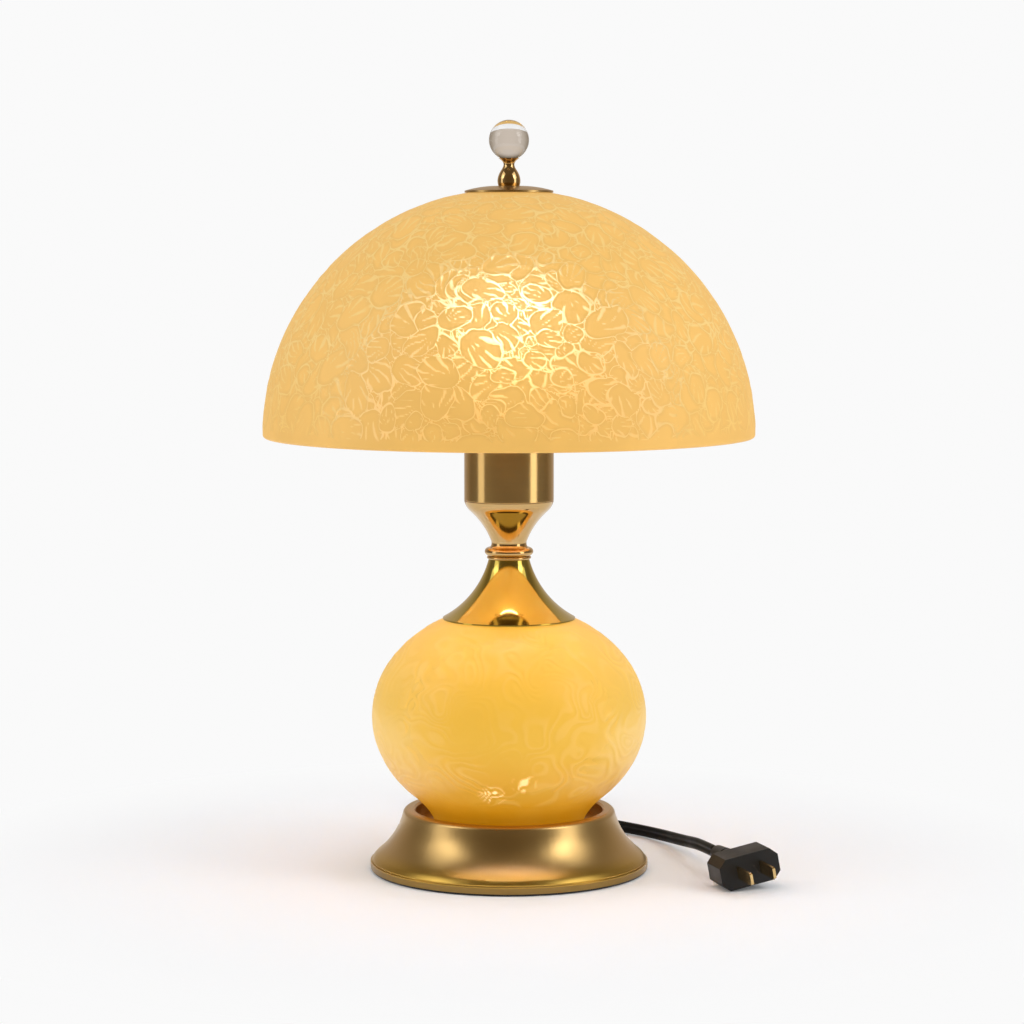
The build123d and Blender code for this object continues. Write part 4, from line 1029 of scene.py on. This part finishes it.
def globe_rings():
    """Rings of the globe's outside, from the top down, of its collar, and of its inside, upwards."""
    high, low = math.acos(GLOBE_FLAT / GLOBE_RADIUS), -math.acos(GLOBE_SMOOTH / GLOBE_RADIUS)
    down = np.linspace(high, low, GLOBE_RINGS)
    outside = arc_rings(down, GLOBE_RADIUS, GLOBE_HALF, GLOBE_Z, globe_count)
    outside.insert(0, (GLOBE_HOLE, outside[0][1], GLOBE_COUNT))
    start = np.array(outside[-1][:2])
    corner = np.array([GLOBE_COLLAR + GLOBE_TUCK, GLOBE_COLLAR_Z])
    end = np.array([GLOBE_COLLAR, GLOBE_FOOT_Z])
    collar = []
    for share in np.linspace(0, 1, GLOBE_COLLAR_STEPS + 1)[1:]:
        radius, z = (1 - share) ** 2 * start + 2 * share * (1 - share) * corner + share**2 * end
        collar.append((radius, z, GLOBE_COUNT))
    bore = GLOBE_COLLAR - GLOBE_WALL
    collar.append((bore, GLOBE_FOOT_Z, GLOBE_COUNT))
    inner_radius, inner_half = GLOBE_RADIUS - GLOBE_WALL, GLOBE_HALF - GLOBE_WALL
    up = np.linspace(-math.acos(bore / inner_radius), math.acos(GLOBE_HOLE / inner_radius), GLOBE_INNER_RINGS)
    inside = arc_rings(up, inner_radius, inner_half, GLOBE_Z, globe_count)
    return outside, collar, inside


def build_globe():
    """The globe: an outside with swirls that runs smoothly into its collar, and a plain inside."""
    outside, collar, inside = globe_rings()
    points, faces = ring_surface(outside + collar + inside + outside[:1])
    outer = ring_points(outside)
    from_centre = points[:outer] - np.array([0, 0, GLOBE_Z])
    from_axis = np.hypot(from_centre[:, 0], from_centre[:, 1])
    above = from_centre[:, 2] > 0
    fade = np.where(above, smooth_step(*SKIRT_FADE, from_axis), smooth_step(*COLLAR_FADE, from_axis))
    swirl, glint = np.zeros(len(points)), np.zeros(len(points))
    swirl[:outer] = globe_swirl(from_centre) * fade
    glint[:outer] = globe_glint(from_centre)
    normals = units(from_centre / np.array([GLOBE_RADIUS**2, GLOBE_RADIUS**2, GLOBE_HALF**2]))
    points[:outer] += normals * (SWIRL_HEIGHT * (swirl[:outer] - fade / 2))[:, None]
    made = mesh_object("globe_glass", points * MM, faces, [looks["amber_globe_glass"]])
    put_attribute(made.data, "swirl", swirl)
    put_attribute(made.data, "glint", glint)
    return made


globe_piece = build_globe()
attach(globe_piece, "lamp")
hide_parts("globe")

# Floor: pale, and white like the background further out
BACKGROUND = colour(0.955, 0.955, 0.955)
FLOOR_PALE = colour(0.91, 0.92, 0.93)
FLOOR_LEVEL = -0.0002
FLOOR_RADIUS = 1.0
FLOOR_SIDES = 64
FLOOR_NEAR, FLOOR_FAR = 0.10, 0.34


def seen_ray(graph):
    """Whether a ray comes from the camera, a reflection or through glass, and the Light Path node."""
    rays = graph.add("ShaderNodeLightPath")
    seen = graph.math("ADD", rays.outputs["Is Camera Ray"], rays.outputs["Is Glossy Ray"], clamp=True)
    return graph.math("ADD", seen, rays.outputs["Is Transmission Ray"], clamp=True), rays


def floor_material():
    """Pale floor that turns into the background's white further out."""
    made, graph, place = new_material("floor")
    reach = graph.add("ShaderNodeVectorMath", {0: place}, operation="LENGTH").outputs["Value"]
    far = graph.step(reach, FLOOR_NEAR, FLOOR_FAR)
    seen, _ = seen_ray(graph)
    near = graph.add("ShaderNodeBsdfDiffuse", {"Color": FLOOR_PALE}).outputs[0]
    away = graph.add("ShaderNodeEmission", {"Color": BACKGROUND}).outputs[0]
    mixed = graph.add("ShaderNodeMixShader", {0: graph.math("MULTIPLY", far, seen), 1: near, 2: away})
    graph.add("ShaderNodeOutputMaterial", {"Surface": mixed.outputs[0]})
    return made


floor_points = [flat(360 * k / FLOOR_SIDES, FLOOR_RADIUS, FLOOR_LEVEL) for k in range(FLOOR_SIDES)]
floor = mesh_object("floor", floor_points, [range(FLOOR_SIDES)], [floor_material()])

# Studio seen in reflections, from the camera's side (0) round to the backdrop (1), and above
STUDIO = [
    (0.0, (0.13, 0.095, 0.055)),
    (0.1, (0.15, 0.115, 0.075)),
    (0.2, (0.22, 0.19, 0.15)),
    (0.44, (0.22, 0.19, 0.16)),
    (0.52, (0.22, 0.20, 0.18)),
    (0.7, (0.21, 0.17, 0.125)),
    (0.82, (0.37, 0.31, 0.245)),
    (1.0, (0.63, 0.545, 0.465)),
]
CEILING = colour(0.15, 0.12, 0.085)
CEILING_LOW, CEILING_HIGH = 0.5, 0.85
AMBIENT = colour(0.975, 0.985, 1.0)
AMBIENT_STRENGTH = 0.70
LEAST_REACH = 0.001


def studio_ramp(graph, x, y):
    """Colour of the studio's walls in a direction."""
    towards_back = graph.math("DIVIDE", y, graph.math("MAXIMUM", graph.length(x, y), LEAST_REACH))
    ramp = graph.add("ShaderNodeValToRGB", {0: graph.math("MULTIPLY_ADD", towards_back, 0.5, 0.5)})
    stops = ramp.color_ramp.elements
    while len(stops) < len(STUDIO):
        stops.new(0.5)
    for stop, (at, wall) in zip(stops, STUDIO):
        stop.position = at
        stop.color = colour(*wall)
    return ramp.outputs[0]


def studio_world():
    """White for the camera, the studio in reflections and glass, and an even light all round."""
    made = bpy.data.worlds.new("studio")
    made.use_nodes = True
    graph = Graph(made.node_tree)
    x, y, z = graph.split(graph.add("ShaderNodeTexCoord").outputs["Generated"])
    high = graph.step(z, CEILING_LOW, CEILING_HIGH)
    reflected = graph.tint(high, studio_ramp(graph, x, y), CEILING)
    seen, rays = seen_ray(graph)
    in_view = graph.tint(rays.outputs["Is Camera Ray"], reflected, BACKGROUND)
    shown = graph.add("ShaderNodeBackground", {0: in_view, 1: 1.0}).outputs[0]
    ambient = graph.add("ShaderNodeBackground", {0: AMBIENT, 1: AMBIENT_STRENGTH}).outputs[0]
    both = graph.add("ShaderNodeMixShader", {0: seen, 1: ambient, 2: shown})
    graph.add("ShaderNodeOutputWorld", {0: both.outputs[0]})
    return made


scene.world = studio_world()

# Softboxes: angle round from the camera's side, left negative, distance, height, width, tallness and watts
SOFTBOXES = {
    "strip_left": (-76, 1.3, 0.35, 0.45, 0.9, 1.6),
    "strip_right": (66, 1.3, 0.35, 0.45, 0.9, 2.6),
    "box_left": (-76, 1.3, 1.15, 1.0, 0.85, 3.0),
    "box_right": (70, 1.3, 1.15, 1.0, 0.85, 3.4),
    "core_left": (-70, 1.25, 1.02, 0.42, 0.42, 0.9),
    "core_right": (62, 1.25, 1.02, 0.42, 0.42, 1.6),
}
LAMP_AIM = Vector((0, 0, 0.15))
CAMERA_SIDE = -90

for name, (angle, distance, height, width, tall, power) in SOFTBOXES.items():
    softbox_data = bpy.data.lights.new(name, "AREA")
    softbox_data.shape = "RECTANGLE"
    softbox_data.size = width
    softbox_data.size_y = tall
    softbox_data.energy = power
    softbox = add_object(name, softbox_data)
    softbox.location = flat(CAMERA_SIDE + angle, distance, height)
    softbox.rotation_euler = (LAMP_AIM - softbox.location).to_track_quat("-Z", "Y").to_euler()
    softbox.visible_camera = False
